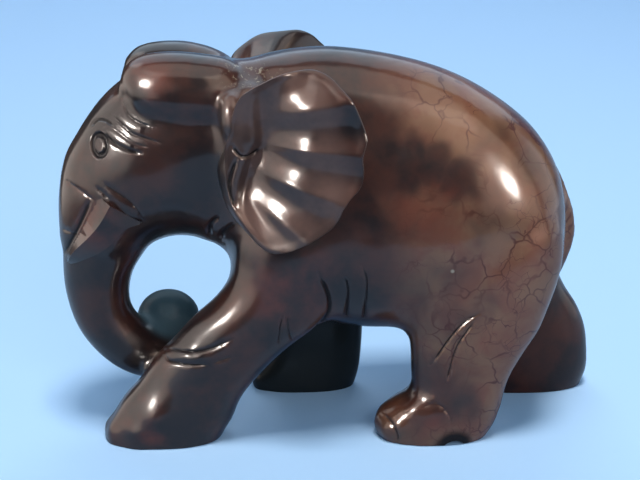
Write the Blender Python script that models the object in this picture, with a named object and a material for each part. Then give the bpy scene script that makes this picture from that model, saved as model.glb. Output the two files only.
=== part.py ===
"""Walking elephant carved from one block of dark polished stone.

The whole figure is one solid. It is laid out on a grid of STEPS steps along
its length, with x running from the head (negative) to the rump, y from its
left side (negative) to its right, and z up from the ground. Every place and
width below is in those steps, so the pose and the proportions are shares of
LENGTH. The origin ends up under the middle of the figure, on the ground.
"""
import math

import bmesh
import bpy
import numpy as np
from mathutils import Euler, Matrix, Vector

# Driving sizes
LENGTH = 0.130
STEPS = 548.0
STEP = LENGTH / STEPS

# How the skins are run together: cell of the first net, of the net with the tail and
# the pillows, and of the last one, then rounds of rounding out and of smoothing after each
CELL = 4.4
DETAIL_CELL = 3.52
FINE_CELL = 2.0
FILL_ROUNDS = (36, 6)
SMOOTH_ROUNDS = (14, 3)
SLIDE = 0.15
TRIANGLES = 9600
SHARP_ANGLE = 50
SOLE_SNAP = 0.6

# Body, as slices across x: x, top, level where it is widest, bottom, half width
BODY = [
    (-104, 328, 262, 200, 36), (-94, 350, 258, 180, 54), (-70, 368, 248, 150, 69),
    (-35, 378, 228, 122, 77), (5, 381, 210, 105, 81), (45, 377, 203, 99, 84),
    (85, 369, 203, 99, 87), (120, 358, 207, 101, 90), (150, 344, 214, 104, 91),
    (180, 325, 214, 108, 88), (205, 304, 208, 114, 80), (222, 282, 203, 124, 68),
    (233, 260, 199, 138, 52), (239, 238, 196, 155, 34), (242, 220, 196, 172, 16)]
BODY_SQUARE = 2.25

# Head, as slices across z: z, front x, back x, half width
HEAD = [
    (368, -164, -70, 30), (352, -188, -50, 50), (336, -207, -45, 57),
    (318, -222, -45, 61), (300, -234, -50, 63), (280, -246, -55, 63),
    (255, -253, -62, 61), (232, -256, -72, 58), (210, -257, -80, 54),
    (190, -257, -88, 49)]
HEAD_SQUARE = 2.2

# Round loop between trunk, jaw and chest: middle x, z, then half thickness, radius
LOOP = (-138, 145.5)
LOOP_SPOOL = [(0, 49), (14, 53), (28, 62), (42, 75), (54, 92), (66, 112)]

# Pillow on top of the head, mirrored: x, y, z, radius up, radius across
PILLOW = [
    (-181, 31, 342, 3, 3), (-180, 31, 343, 17, 14), (-173, 31, 345, 28, 25),
    (-158, 32, 347, 34, 32), (-132, 33, 346, 36, 35), (-108, 34, 343, 33, 34),
    (-90, 33, 338, 27, 30), (-76, 32, 331, 19, 22), (-66, 31, 326, 8, 10)]
PILLOW_FAR_SHIFT = (-3, 0)

# Swelling of the neck behind the jaw, and the fold in front of each ear, mirrored
NECK_PAD = [[(-62, -52, 288), (36, 24, 62)], [(-70, -52, 326), (24, 25, 30)]]
EAR_FOLD = [
    (-87, -64, 348, 4, 4), (-85, -68, 343, 9, 9), (-84, -71, 335, 11, 12),
    (-83, -72, 326, 12, 13), (-84, -72, 318, 10, 12), (-86, -71, 310, 5, 8)]

# Chisel lines are drawn on an upright sheet at a distance y from the middle
# and thrown onto the stone from this viewpoint, if it is near the sheet and clear of
# the middle: width, depth, points (x, z). A line runs out over a share of its length
# at each end, and its lips stand up by a share of its depth.
VIEW = (-62, -1187, 572)
SHEET_DEPTH = 26
CLEAR_OF_MIDDLE = 14
LINE_END = 0.15
LINE_END_DEPTH = 0.25
LIP_PLACE = 2.2
LIP_SHARE = 0.04
HEAD_LINES = [
    (-58, 1.0, 1.2, [(-183, 343), (-181, 334), (-178, 328), (-172, 323), (-166, 320), (-158, 317)]),
    (-56, 4.6, -1.1, [(-191, 332), (-185, 325), (-178, 319), (-171, 315), (-163, 312)]),
    (-55, 1.1, 1.5, [
        (-194, 329), (-187, 321), (-181, 315), (-175, 310), (-167, 307), (-159, 304), (-150, 301)]),
    (-51, 1.0, 0.8, [(-196, 316), (-188, 310), (-182, 305), (-176, 301), (-169, 298), (-161, 296)]),
    (-50, 4.0, -1.0, [(-202, 316), (-195, 309), (-189, 304), (-181, 299), (-174, 295)]),
    (-49, 1.6, 2.2, [(-202, 311), (-199, 305), (-194, 300), (-187, 296), (-178, 292), (-169, 290)]),
    (-44, 1.3, 1.7, [(-215, 315), (-210, 321), (-205, 322), (-200, 320), (-194, 315)]),
    (-52, 1.0, 1.5, [(-206, 262), (-200, 258), (-190, 250), (-181, 243), (-174, 234), (-170, 224)]),
    (-45, 1.1, 1.2, [(-213, 256), (-207, 251), (-202, 245)]),
    (-32, 1.1, 0.9, [(-245, 262), (-235, 254), (-224, 245), (-218, 240)]),
    (-28, 1.1, 0.6, [(-250, 211), (-236, 204)]),
    (-44, 2.0, 2.0, [(-219, 246), (-225, 233), (-233, 217), (-242, 201), (-249, 188)]),
    (-50, 2.2, 2.0, [(-108, 208), (-108, 216), (-105, 222), (-98, 228)]),
    (-50, 2.2, 2.0, [(-97, 205), (-96, 211), (-90, 217), (-84, 221)])]

# Eye: its sheet, middle and half sizes, then place, width and depth of its rings,
# where 1 is the edge of the eye
EYE = (-42, (-208.5, 297), (6.4, 10.3))
EYE_RINGS = [(1.0, 0.27, 3.0)]
LEFT_LINES = [
    (-76, 1.4, 2.0, [(-154, 105), (-146, 103), (-133, 101), (-123, 100), (-107, 103), (-88, 112)]),
    (-76, 1.4, 1.8, [(-153, 100), (-150, 92), (-143, 89), (-129, 86), (-112, 86)]),
    (-76, 1.1, 1.1, [(-106, 88), (-90, 93)]),
    (-80, 1.9, 2.6, [(-6, 180), (1, 165), (5, 152), (5, 141), (-1, 130), (-18, 112), (-32, 102)]),
    (-84, 1.4, 1.9, [(17, 179), (22, 164), (20, 128)]),
    (-84, 1.4, 1.7, [(35, 188), (40, 168), (37, 128)]),
    (-80, 1.2, 1.5, [(-39, 137), (-42, 123), (-44, 105)]),
    (-80, 1.2, 1.5, [(-35, 137), (-34, 122), (-30, 110)]),
    (-88, 1.4, 1.9, [(148, 139), (134, 130), (120, 114), (103, 87)]),
    (-88, 1.2, 1.7, [(145, 134), (134, 117), (125, 100), (117, 65)]),
    (-86, 1.1, 0.9, [(96, 40), (105, 44), (114, 41), (122, 31), (124, 20)]),
    (-86, 1.4, 1.6, [(57, 34), (64, 27), (69, 20), (72, 11), (71, 2)])]
EAR_LINES = [
    (-84, 1.7, 2.0, [(-84, 305), (-80, 298), (-74, 294), (-67, 296), (-61, 300), (-56, 302)]),
    (-86, 1.9, 2.4, [(-80, 293), (-85, 280), (-87, 268), (-85, 256), (-81, 246)])]

# Swellings: place, reach, height
LEFT_SWELLS = [
    ((-82, -32, 366), (32, 26, 18), 7.0), ((-135, -82, 96), (22, 14, 6), 3.0),
    ((-163, -78, 31), (15, 10, 14), 4.0), ((-182, -78, 15), (11, 9, 11), 3.8),
    ((-208, -64, 12), (9, 9, 11), 2.4), ((-216, -45, 12), (9, 8, 11), 2.4),
    ((-214, -24, 12), (9, 9, 9), 3.4), ((90, -79, 36), (10, 9, 9), 3.0),
    ((74, -81, 18), (8, 8, 9), 3.2), ((60, -77, 10), (7, 8, 9), 2.6),
    ((54, -59, 14), (9, 8, 13), 2.4), ((56, -42, 14), (9, 8, 13), 2.4)]
RIGHT_SWELLS = [
    ((-66, 80, 13), (9, 9, 12), 3.0), ((-70, 66, 13), (9, 8, 12), 3.0),
    ((-67, 52, 12), (9, 8, 12), 3.0), ((160, 78, 13), (9, 9, 12), 2.5),
    ((157, 62, 13), (9, 8, 12), 2.5), ((159, 46, 12), (9, 8, 12), 2.5)]

# Scoop under the arch of the left hind foot
ARCH = [(128, -92, -3), (11, 17, 7.5)]

# Trunk: x, y, z of its middle line, radius in the side view, radius across
TRUNK = [
    (-200, 0, 235, 55, 50), (-211, 0, 200, 44, 42), (-220, 0, 170, 36, 38),
    (-223, 0, 142, 32, 34), (-219, 0, 114, 29, 31), (-207, 1, 92, 28, 29),
    (-190, 4, 74, 27, 28), (-171, 10, 65, 27, 28), (-153, 20, 65, 27, 27),
    (-146, 32, 74, 27, 27), (-152, 42, 86, 26, 27)]
TRUNK_TIP = [(-157, 43, 89), (33, 27, 31)]

# Legs, as level slices: z, front x, back x, middle y, half width
FORE_NEAR = [
    (262, -50, -10, -40, 12), (250, -72, 10, -44, 28), (215, -84, 26, -46, 38),
    (180, -87, 20, -48, 38), (160, -93, 10, -49, 36), (142, -107, 8, -50, 35),
    (124, -128, 3, -51, 34), (104, -146, -22, -50, 34),
    (86, -163, -43, -50, 33), (60, -181, -67, -49, 33), (40, -198, -81, -48, 35),
    (20, -210, -89, -48, 35), (8, -216, -96, -47, 36), (-5, -218, -103, -47, 36)]
FORE_FAR = [
    (262, -30, 10, 40, 12), (250, -60, 36, 42, 28), (215, -82, 46, 46, 38),
    (180, -80, 50, 50, 38), (150, -72, 52, 56, 36), (120, -62, 51, 61, 33),
    (90, -54, 50, 64, 29), (62, -50, 49, 65, 27), (40, -54, 48, 66, 26),
    (20, -65, 46, 66, 26), (8, -69, 43, 66, 26), (-5, -69, 39, 66, 26)]
HIND_NEAR = [
    (285, 160, 200, -30, 10), (270, 145, 214, -36, 28), (240, 122, 224, -41, 37),
    (215, 108, 231, -46, 41), (185, 98, 233, -50, 40),
    (159, 88, 228, -54, 37), (133, 83, 220, -56, 35), (111, 84, 212, -57, 33),
    (90, 86, 200, -57, 31), (68, 87, 188, -57, 30), (52, 88, 182, -57, 31),
    (43, 85, 180, -57, 32), (36, 71, 179, -57, 33), (24, 57, 176, -57, 33),
    (10, 53, 171, -57, 33), (-5, 57, 161, -57, 32)]
HIND_FAR = [
    (285, 160, 200, 34, 10), (270, 148, 214, 40, 28), (240, 130, 226, 46, 40),
    (215, 126, 234, 50, 42), (185, 132, 238, 52, 41),
    (159, 140, 246, 54, 38), (133, 148, 255, 56, 36), (111, 156, 266, 58, 34),
    (90, 165, 280, 60, 33), (66, 172, 290, 60, 33), (40, 171, 294, 60, 34),
    (20, 164, 295, 60, 34), (8, 160, 292, 60, 34), (-5, 160, 287, 60, 33)]
LEG_SQUARE = 2.3

# Tail, hanging between the buttocks: x, y, z, radius back to front, radius across
TAIL = [
    (186, 2, 298, 8, 12), (208, 2, 280, 7, 11), (224, 2, 263, 7, 9), (234, 2, 247, 7, 8),
    (242, 2, 228, 7, 8), (249, 2, 207, 7, 8), (250, 2, 184, 7, 8), (243, 2, 160, 7, 9),
    (232, 2, 138, 8, 11), (226, 2, 122, 7, 9), (222, 2, 110, 4, 5)]

# Tusk with its lip, mirrored: a wedge, by places (x, y, z) of its upper edge, its ridge,
# its lower edge and its buried edge
TUSK = [
    [(-211, -50, 250), (-199, -62, 243), (-170, -53, 223), (-190, -18, 236)],
    [(-218, -48, 235), (-208, -64, 228), (-187, -57, 218), (-202, -18, 227)],
    [(-225, -45, 221), (-217, -60, 216), (-200, -55, 204), (-212, -18, 213)],
    [(-234, -40, 206), (-227, -54, 205), (-211, -50, 194), (-223, -18, 200)],
    [(-243, -34, 192), (-238, -45, 193), (-224, -43, 186), (-233, -18, 189)],
    [(-247, -29, 184), (-244, -37, 183), (-236, -35, 179), (-241, -16, 182)],
    [(-248, -27, 178), (-246, -31, 178), (-244, -29, 175), (-246, -16, 177)]]

# Ear, mirrored: outline of its rim, the middle of its shell, and the place
# in the neck that its back runs into
EAR_RIM = [
    (-85, 318), (-84, 328), (-81, 340), (-76, 350), (-68, 357), (-57, 364), (-46, 369), (-32, 372),
    (-14, 374), (-4, 372), (5, 367), (11, 361), (17, 355), (23, 348), (29, 335), (34, 322),
    (36, 314), (34, 306), (32, 297), (33, 288), (33, 279), (30, 269), (22, 260), (15, 250),
    (11, 240), (4, 231), (-8, 223), (-20, 216), (-31, 210), (-43, 207), (-53, 209), (-62, 216),
    (-70, 226), (-78, 236), (-84, 246), (-88, 257), (-90, 270), (-91, 283), (-91, 296), (-90, 306)]
EAR_MIDDLE = (-56, 300)
EAR_NECK = (-74, 292)
EAR_FAR_SHIFT = (-8, 9)

# How far the ear stands out: in front, behind, between which x it spreads, and what its
# top front adds, between which levels and which x
EAR_FRONT_OUT = 82
EAR_BACK_OUT = 109
EAR_SPREAD_X = (-104, -6)
EAR_TOP_OUT = 6
EAR_TOP_LEVELS = (320, 375)
EAR_TOP_X = (-30, -60)
EAR_DISH = 6.0
EAR_LIP = 1.6
EAR_LIP_PLACE = (0.985, 0.045)

# The fold down the ear: level and x of its bottom, the levels over which it sinks in, its
# depth, and its width in front and behind
EAR_VALLEY = [
    (206, -60), (218, -65), (234, -71), (248, -74), (262, -72), (275, -68), (287, -64), (299, -58),
    (309, -54), (323, -55), (337, -56), (351, -57), (366, -58)]
EAR_VALLEY_LEVELS = (204, 262)
EAR_VALLEY_DEPTH = 14.0
EAR_VALLEY_FRONT = 8.5
EAR_VALLEY_BACK = 24.0

# Flutes of the ear, spread from a place in front of it by an angle: the gap between two
# crests, the highest crest, the angles between which they fade out below, the distance
# behind the fold over which they rise, their depth and the share lost at the rim
EAR_FAN = (-150, 313)
EAR_FAN_GAP = 15.5
EAR_FAN_TOP = 11.5
EAR_FAN_LOW = (-48, -36)
EAR_FAN_RISE = (-4, 34)
EAR_FLUTE = 5.5
EAR_FLUTE_LOST = 0.35

# The lobe above the highest crest leans back: its slope, the run of its bend, and the
# distance behind the fold over which it starts
EAR_LEAN = 0.7
EAR_BEND = 5.0
EAR_LEAN_RISE = (0, 44)

# The wall from the rim to the neck: its steps, each a share of the way out to the rim and
# a depth in EAR_THICK, then how far it spreads at its low front, from which levels and x,
# and the depth at which it is fully spread
EAR_THICK = 7.0
EAR_WALL = [
    (1.005, 0.08), (1.009, 0.22), (1.005, 0.38), (0.985, 0.8), (0.94, 1.4), (0.84, 2.6),
    (0.7, 4.2), (0.5, 6.4), (0.3, 8.0)]
EAR_SPREAD = 9.5
EAR_SPREAD_LEVELS = (308, 280)
EAR_SPREAD_FRONT = (-36, -54)
EAR_SPREAD_DEPTH = 1.4


def wipe():
    """Start from an empty scene."""
    for thing in list(bpy.data.objects):
        bpy.data.objects.remove(thing, do_unlink=True)


def eased(rows, parts):
    """Rows of numbers with a smooth curve run through them."""
    grid = np.array(rows, float)
    padded = np.vstack([2 * grid[0] - grid[1], grid, 2 * grid[-1] - grid[-2]])
    out = []
    for k in range(len(grid) - 1):
        a, b, c, d = padded[k:k + 4]
        for t in np.linspace(0.0, 1.0, parts, endpoint=False):
            out.append(0.5 * (2 * b + (c - a) * t + (2 * a - 5 * b + 4 * c - d) * t * t
                              + (3 * b - a - 3 * c + d) * t ** 3))
    out.append(grid[-1])
    return np.array(out)


def oval(middle, across, along, power, count=40):
    """Points round a rounded-square oval with the two half axes given."""
    points = []
    for k in range(count):
        a = 2 * math.pi * k / count
        c = math.copysign(abs(math.cos(a)) ** (2.0 / power), math.cos(a))
        s = math.copysign(abs(math.sin(a)) ** (2.0 / power), math.sin(a))
        points.append(middle + across * c + along * s)
    return points


def add_mesh(name, points, faces):
    """One object from points in steps."""
    mesh = bpy.data.meshes.new(name)
    mesh.from_pydata([tuple(Vector(p) * STEP) for p in points], [], faces)
    mesh.update()
    thing = bpy.data.objects.new(name, mesh)
    bpy.context.scene.collection.objects.link(thing)
    return thing


def loft(name, rings):
    """A closed skin over rings of equal count, with a point at each end."""
    count = len(rings[0])
    points = [p for ring in rings for p in ring]
    faces = []
    for r in range(len(rings) - 1):
        for k in range(count):
            n = (k + 1) % count
            faces.append((r * count + k, r * count + n, (r + 1) * count + n, (r + 1) * count + k))
    for r, flip in ((0, True), (len(rings) - 1, False)):
        hub = len(points)
        points.append(sum(rings[r], Vector()) / count)
        for k in range(count):
            n = (k + 1) % count
            pair = (r * count + n, r * count + k) if flip else (r * count + k, r * count + n)
            faces.append((*pair, hub))
    thing = add_mesh(name, points, faces)
    face_out(thing.data)
    return thing


def face_out(mesh):
    """Turn every face outward."""
    work = bmesh.new()
    work.from_mesh(mesh)
    bmesh.ops.recalc_face_normals(work, faces=work.faces)
    work.to_mesh(mesh)
    work.free()


def body_skin():
    """The barrel of the body, lofted along x."""
    rings = []
    for x, top, widest, bottom, half in eased(BODY, 5):
        ring = oval(Vector((x, 0, 0)), Vector((0, half, 0)), Vector((0, 0, 1)), BODY_SQUARE)
        for point in ring:
            point.z = widest + point.z * (top - widest if point.z > 0 else widest - bottom)
        rings.append(ring)
    return loft("body", rings)


def head_skin():
    """The head, lofted downward."""
    rings = []
    for z, front, back, half in eased(HEAD, 5):
        rings.append(oval(Vector(((front + back) / 2, 0, z)), Vector(((back - front) / 2, 0, 0)),
                          Vector((0, half, 0)), HEAD_SQUARE))
    return loft("head", rings)


def leg_skin(name, rows):
    """One leg, lofted downward to a flat sole."""
    rings = []
    for z, front, back, y, half in eased(rows, 5):
        rings.append(oval(Vector(((front + back) / 2, y, z)), Vector(((back - front) / 2, 0, 0)),
                          Vector((0, half, 0)), LEG_SQUARE))
    return loft(name, rings)


def tube_skin(name, rows, power=2.0):
    """A round limb along a curved middle line: x, y, z, radius up, radius across."""
    path = eased(rows, 5)
    rings = []
    side = Vector((0, 1, 0))
    for k, row in enumerate(path):
        here = Vector(row[:3])
        ahead = Vector(path[min(k + 1, len(path) - 1)][:3]) - Vector(path[max(k - 1, 0)][:3])
        ahead.normalize()
        side = (side - ahead * side.dot(ahead)).normalized()
        up = ahead.cross(side)
        rings.append(oval(here, up * row[3], side * row[4], power))
    return loft(name, rings)


def wedge_skin(name, rows):
    """A pointed wedge along the rows, each with the same count of edges."""
    edges = [eased(line, 5) for line in zip(*rows)]
    return loft(name, [[Vector(point) for point in ring] for ring in zip(*edges)])


def ball(name, middle, radii, tilt=(0, 0, 0)):
    """A stretched ball."""
    work = bmesh.new()
    bmesh.ops.create_uvsphere(work, u_segments=36, v_segments=24, radius=1.0)
    mesh = bpy.data.meshes.new(name)
    work.to_mesh(mesh)
    work.free()
    thing = bpy.data.objects.new(name, mesh)
    bpy.context.scene.collection.objects.link(thing)
    turn = Euler([math.radians(a) for a in tilt]).to_matrix().to_4x4()
    size = Matrix.Diagonal((*[r * STEP for r in radii], 1.0))
    mesh.transform(Matrix.Translation(Vector(middle) * STEP) @ turn @ size)
    mesh.update()
    return thing


def baked(thing):
    """Replace an object's mesh by what its modifiers make of it."""
    graph = bpy.context.evaluated_depsgraph_get()
    mesh = bpy.data.meshes.new_from_object(thing.evaluated_get(graph))
    thing.modifiers.clear()
    thing.data = mesh
    return thing


def joined(name, things):
    """Several skins in one mesh."""
    work = bmesh.new()
    for thing in things:
        work.from_mesh(thing.data)
        bpy.data.objects.remove(thing, do_unlink=True)
    mesh = bpy.data.meshes.new(name)
    work.to_mesh(mesh)
    work.free()
    thing = bpy.data.objects.new(name, mesh)
    bpy.context.scene.collection.objects.link(thing)
    return thing


def fused(thing, cell):
    """One closed skin round everything in the mesh."""
    net = thing.modifiers.new("fuse", "REMESH")
    net.mode = "VOXEL"
    net.voxel_size = cell * STEP
    net.adaptivity = 0.0
    return baked(thing)


def read(mesh):
    """Points and edges as arrays."""
    spots = np.empty(len(mesh.vertices) * 3)
    mesh.vertices.foreach_get("co", spots)
    pairs = np.empty(len(mesh.edges) * 2, int)
    mesh.edges.foreach_get("vertices", pairs)
    return spots.reshape(-1, 3) / STEP, pairs.reshape(-1, 2)


def put(mesh, spots):
    mesh.vertices.foreach_set("co", (spots * STEP).ravel())
    mesh.update()


def normals(mesh):
    out = np.empty(len(mesh.vertices) * 3)
    mesh.vertex_normals.foreach_get("vector", out)
    return out.reshape(-1, 3)


def neighbour_mean(spots, pairs):
    """The average place of each point's neighbours."""
    count = np.bincount(pairs.ravel(), minlength=len(spots))
    out = np.empty_like(spots)
    for axis in range(3):
        out[:, axis] = (np.bincount(pairs[:, 0], spots[pairs[:, 1], axis], len(spots))
                        + np.bincount(pairs[:, 1], spots[pairs[:, 0], axis], len(spots)))
    return out / np.maximum(count, 1)[:, None]


def filled(thing, rounds, gain=0.8):
    """Round out the inner corners and leave the crowns as they are."""
    mesh = thing.data
    spots, pairs = read(mesh)
    for step in range(rounds):
        if step % 4 == 0:
            put(mesh, spots)
            facing = normals(mesh)
        pull = neighbour_mean(spots, pairs) - spots
        out = np.einsum("ij,ij->i", pull, facing)
        spots += facing * (gain * np.maximum(out, 0.0))[:, None]
        spots += SLIDE * (pull - facing * out[:, None])
    put(mesh, spots)
    return thing


def relaxed(thing, rounds, gain=0.5, back=0.515):
    """Smooth without shrinking: a step in, then a step out."""
    mesh = thing.data
    spots, pairs = read(mesh)
    for step in range(rounds):
        spots += gain * (neighbour_mean(spots, pairs) - spots)
        spots -= back * (neighbour_mean(spots, pairs) - spots)
    put(mesh, spots)
    return thing


def union(thing, others, how="UNION"):
    """Add or cut other closed skins, with crisp seams."""
    for other in others:
        step = thing.modifiers.new("join", "BOOLEAN")
        step.operation = how
        step.solver = "EXACT"
        step.object = other
        baked(thing)
        bpy.data.objects.remove(other, do_unlink=True)
    return thing


def loop_cutter():
    """A spool on a cross axis, waisted in the middle, that opens the trunk's loop."""
    half = [(r, -d) for d, r in reversed(LOOP_SPOOL[1:])]
    rows = half + [(r, d) for d, r in LOOP_SPOOL]
    rings = []
    for radius, y in rows:
        rings.append(oval(Vector((LOOP[0], y, LOOP[1])), Vector((radius, 0, 0)),
                          Vector((0, 0, radius)), 2.0, 64))
    return loft("loop", rings)


def closed_curve(rows, count):
    """A smooth closed line through the rows, cut in even steps."""
    ring = np.array(rows, float)
    n = len(ring)
    line = []
    for k in range(n):
        a, b, c, d = (ring[(k + j) % n] for j in (-1, 0, 1, 2))
        for t in np.linspace(0.0, 1.0, 12, endpoint=False):
            line.append(0.5 * (2 * b + (c - a) * t + (2 * a - 5 * b + 4 * c - d) * t * t
                               + (3 * b - a - 3 * c + d) * t ** 3))
    line = np.array(line + [line[0]])
    gap = np.linalg.norm(np.diff(line, axis=0), axis=1)
    run = np.concatenate([[0], np.cumsum(gap)])
    spots = np.linspace(0, run[-1], count, endpoint=False)
    return np.column_stack([np.interp(spots, run, line[:, 0]), np.interp(spots, run, line[:, 1])])


def step_up(value, low, high):
    """A soft step from 0 at low to 1 at high."""
    t = np.clip((value - low) / (high - low), 0.0, 1.0)
    return t * t * (3 - 2 * t)


def ear_out(x, z, share):
    """How far the ear's face stands out at places in it."""
    valley = eased(EAR_VALLEY, 5)
    off = x - np.interp(z, valley[:, 0], valley[:, 1])
    out = EAR_FRONT_OUT + (EAR_BACK_OUT - EAR_FRONT_OUT) * step_up(x, *EAR_SPREAD_X)
    out += EAR_TOP_OUT * step_up(z, *EAR_TOP_LEVELS) * step_up(x, *EAR_TOP_X)
    out -= EAR_DISH * (1 - share) ** 1.5
    width = np.where(off > 0, EAR_VALLEY_BACK, EAR_VALLEY_FRONT)
    sunk = EAR_VALLEY_DEPTH * step_up(z, *EAR_VALLEY_LEVELS) * (1 - share ** 4)
    out -= sunk * np.exp(-(off / width) ** 2)
    turn = np.degrees(np.arctan2(z - EAR_FAN[1], x - EAR_FAN[0]))
    wave = np.abs(np.sin(np.pi * (turn - EAR_FAN_TOP) / EAR_FAN_GAP)) ** 1.2
    wave *= (turn < EAR_FAN_TOP) * step_up(turn, *EAR_FAN_LOW) * step_up(off, *EAR_FAN_RISE)
    out -= EAR_FLUTE * wave * (1 - EAR_FLUTE_LOST * share ** 4)
    away = np.hypot(x - EAR_FAN[0], z - EAR_FAN[1])
    above = np.radians(np.maximum(turn - EAR_FAN_TOP, 0)) * away
    out -= EAR_LEAN * above ** 2 / (above + EAR_BEND) * step_up(off, *EAR_LEAN_RISE)
    return out + EAR_LIP * np.exp(-((share - EAR_LIP_PLACE[0]) / EAR_LIP_PLACE[1]) ** 2)


def ear_skin(side, around=168, out=30):
    """A fluted shell, dished towards its middle, with a thin rim that stands free."""
    shift = np.array(EAR_FAR_SHIFT if side > 0 else (0, 0), float)
    rim = closed_curve(EAR_RIM, around)
    middle = np.array(EAR_MIDDLE, float)
    neck = np.array(EAR_NECK, float)
    rings = []
    for k in range(1, out + 1):
        spots = middle + (rim - middle) * k / out
        rings.append((spots, ear_out(spots[:, 0], spots[:, 1], k / out)))
    edge = ear_out(rim[:, 0], rim[:, 1], 1.0)
    outward = (rim - middle) / np.linalg.norm(rim - middle, axis=1)[:, None]
    low_front = step_up(rim[:, 1], *EAR_SPREAD_LEVELS) * step_up(rim[:, 0], *EAR_SPREAD_FRONT)
    for share, depth in EAR_WALL:
        spread = EAR_SPREAD * low_front * min(1.0, depth / EAR_SPREAD_DEPTH)
        spots = neck + (rim - neck) * share + outward * spread[:, None]
        rings.append((spots, edge - EAR_THICK * depth))
    return loft("ear", [[Vector((x + shift[0], side * y, z + shift[1])) for (x, z), y in zip(*ring)]
                        for ring in rings])


def flat_below(thing, level):
    """Cut the figure off level, so that its feet stand flat."""
    work = bmesh.new()
    work.from_mesh(thing.data)
    every = work.verts[:] + work.edges[:] + work.faces[:]
    cut = bmesh.ops.bisect_plane(work, geom=every, plane_co=(0, 0, level * STEP),
                                 plane_no=(0, 0, 1), clear_inner=True)
    rim = [e for e in cut["geom_cut"] if isinstance(e, bmesh.types.BMEdge)]
    bmesh.ops.holes_fill(work, edges=rim, sides=0)
    work.to_mesh(thing.data)
    work.free()
    return thing


def thrown(spots, sheet, side):
    """Where places on one side fall on the upright sheet, seen from VIEW."""
    across = spots[:, 1] * -side
    share = (sheet - VIEW[1]) / (across - VIEW[1])
    return np.column_stack([VIEW[0] + (spots[:, 0] - VIEW[0]) * share,
                            VIEW[2] + (spots[:, 2] - VIEW[2]) * share])


def from_line(every, rows, reach):
    """Distance of each place from a line if within reach, and the share along it."""
    line = eased(rows, 4)
    run = np.concatenate([[0], np.cumsum(np.linalg.norm(np.diff(line, axis=0), axis=1))])
    inside = np.all((every > line.min(0) - reach) & (every < line.max(0) + reach), axis=1)
    places = every[inside]
    best = np.full(len(places), 1e9)
    along = np.zeros(len(places))
    for k in range(len(line) - 1):
        step = line[k + 1] - line[k]
        t = np.clip((places - line[k]) @ step / (step @ step), 0, 1)
        far = np.linalg.norm(places - line[k] - t[:, None] * step, axis=1)
        near = far < best
        best[near] = far[near]
        along[near] = ((run[k] + t * (run[k + 1] - run[k])) / run[-1])[near]
    far = np.full(len(every), 1e9)
    share = np.zeros(len(every))
    far[inside] = best
    share[inside] = along
    return far, share


def lines_on(side):
    """Every chisel line on one side, with its shift."""
    shift = EAR_FAR_SHIFT if side > 0 else (0, 0)
    rows = [(line, (0, 0)) for line in HEAD_LINES + (LEFT_LINES if side < 0 else [])]
    return rows + [(line, shift) for line in EAR_LINES]


def carved(thing):
    """Cut the lines and the eyes, and raise the swellings."""
    spots = read(thing.data)[0]
    facing = normals(thing.data)
    depth = np.zeros(len(spots))
    for side in (-1, 1):
        here = (spots[:, 1] * side > CLEAR_OF_MIDDLE) & (facing[:, 1] * side > -0.2)
        for (sheet, width, deep, rows), shift in lines_on(side):
            far, along = from_line(thrown(spots, sheet, side) - shift, rows, 5 * width)
            ends = np.clip(np.minimum(along, 1 - along) / LINE_END, LINE_END_DEPTH, 1)
            lip = LIP_SHARE * np.exp(-(far / width - LIP_PLACE) ** 2)
            cut = deep * ends * (np.exp(-(far / width) ** 2) - lip)
            close = np.abs(np.abs(spots[:, 1]) + sheet) < SHEET_DEPTH
            depth += np.where(here & close & (far < 5 * width), cut, 0)
        round_eye = np.linalg.norm((thrown(spots, EYE[0], side) - EYE[1]) / EYE[2], axis=1)
        for place, width, deep in EYE_RINGS:
            ring = deep * np.exp(-((round_eye - place) / width) ** 4)
            depth += np.where(here, ring, 0)
    for middle, reach, height in LEFT_SWELLS + RIGHT_SWELLS:
        near = np.linalg.norm((spots - middle) / reach, axis=1)
        depth -= height * np.exp(-near ** 2)
    put(thing.data, spots - facing * depth[:, None])
    return thing


def mass():
    """Body, head, trunk and legs run into one another."""
    trunk = joined("front", [body_skin(), head_skin(), tube_skin("trunk", TRUNK[:7])])
    fused(trunk, CELL)
    union(trunk, [loop_cutter()], "DIFFERENCE")
    rest = [tube_skin("trunk", TRUNK), ball("tip", *TRUNK_TIP),
            leg_skin("fore near", FORE_NEAR), leg_skin("fore far", FORE_FAR),
            leg_skin("hind near", HIND_NEAR), leg_skin("hind far", HIND_FAR)]
    for side in (-1, 1):
        for (x, y, z), radii in NECK_PAD:
            rest.append(ball("pad", (x, side * abs(y), z), radii))
    return [trunk] + rest


def mirrored(rows, side, far_shift=(0, 0)):
    """The rows of the left, or of the right with its shift in x and z."""
    shift = far_shift if side > 0 else (0, 0)
    return [(x + shift[0], side * abs(y), z + shift[1], *rest) for x, y, z, *rest in rows]


def polished_stone():
    """Dark red-brown stone with a high polish."""
    paint = bpy.data.materials.new("polished_stone")
    paint.use_nodes = True
    shader = paint.node_tree.nodes["Principled BSDF"]
    shader.inputs["Base Color"].default_value = (0.045, 0.017, 0.012, 1.0)
    shader.inputs["Roughness"].default_value = 0.16
    shader.inputs["Metallic"].default_value = 0.0
    return paint


def settled(thing):
    """Put the origin under the middle of the figure, level with its soles."""
    spots = read(thing.data)[0]
    low, high = spots.min(axis=0), spots.max(axis=0)
    put(thing.data, spots - [(low[0] + high[0]) / 2, (low[1] + high[1]) / 2, low[2]])
    return thing


def slimmed(thing, triangles):
    """Fewer faces, kept where the form turns."""
    slim = thing.modifiers.new("slim", "DECIMATE")
    thing.data.calc_loop_triangles()
    slim.ratio = triangles / len(thing.data.loop_triangles)
    slim.use_collapse_triangulate = True
    return baked(thing)


def levelled(thing):
    """Make the soles exactly flat, before the slimming and again after it."""
    spots = read(thing.data)[0]
    spots[spots[:, 2] < SOLE_SNAP, 2] = 0.0
    put(thing.data, spots)
    return thing


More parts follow.
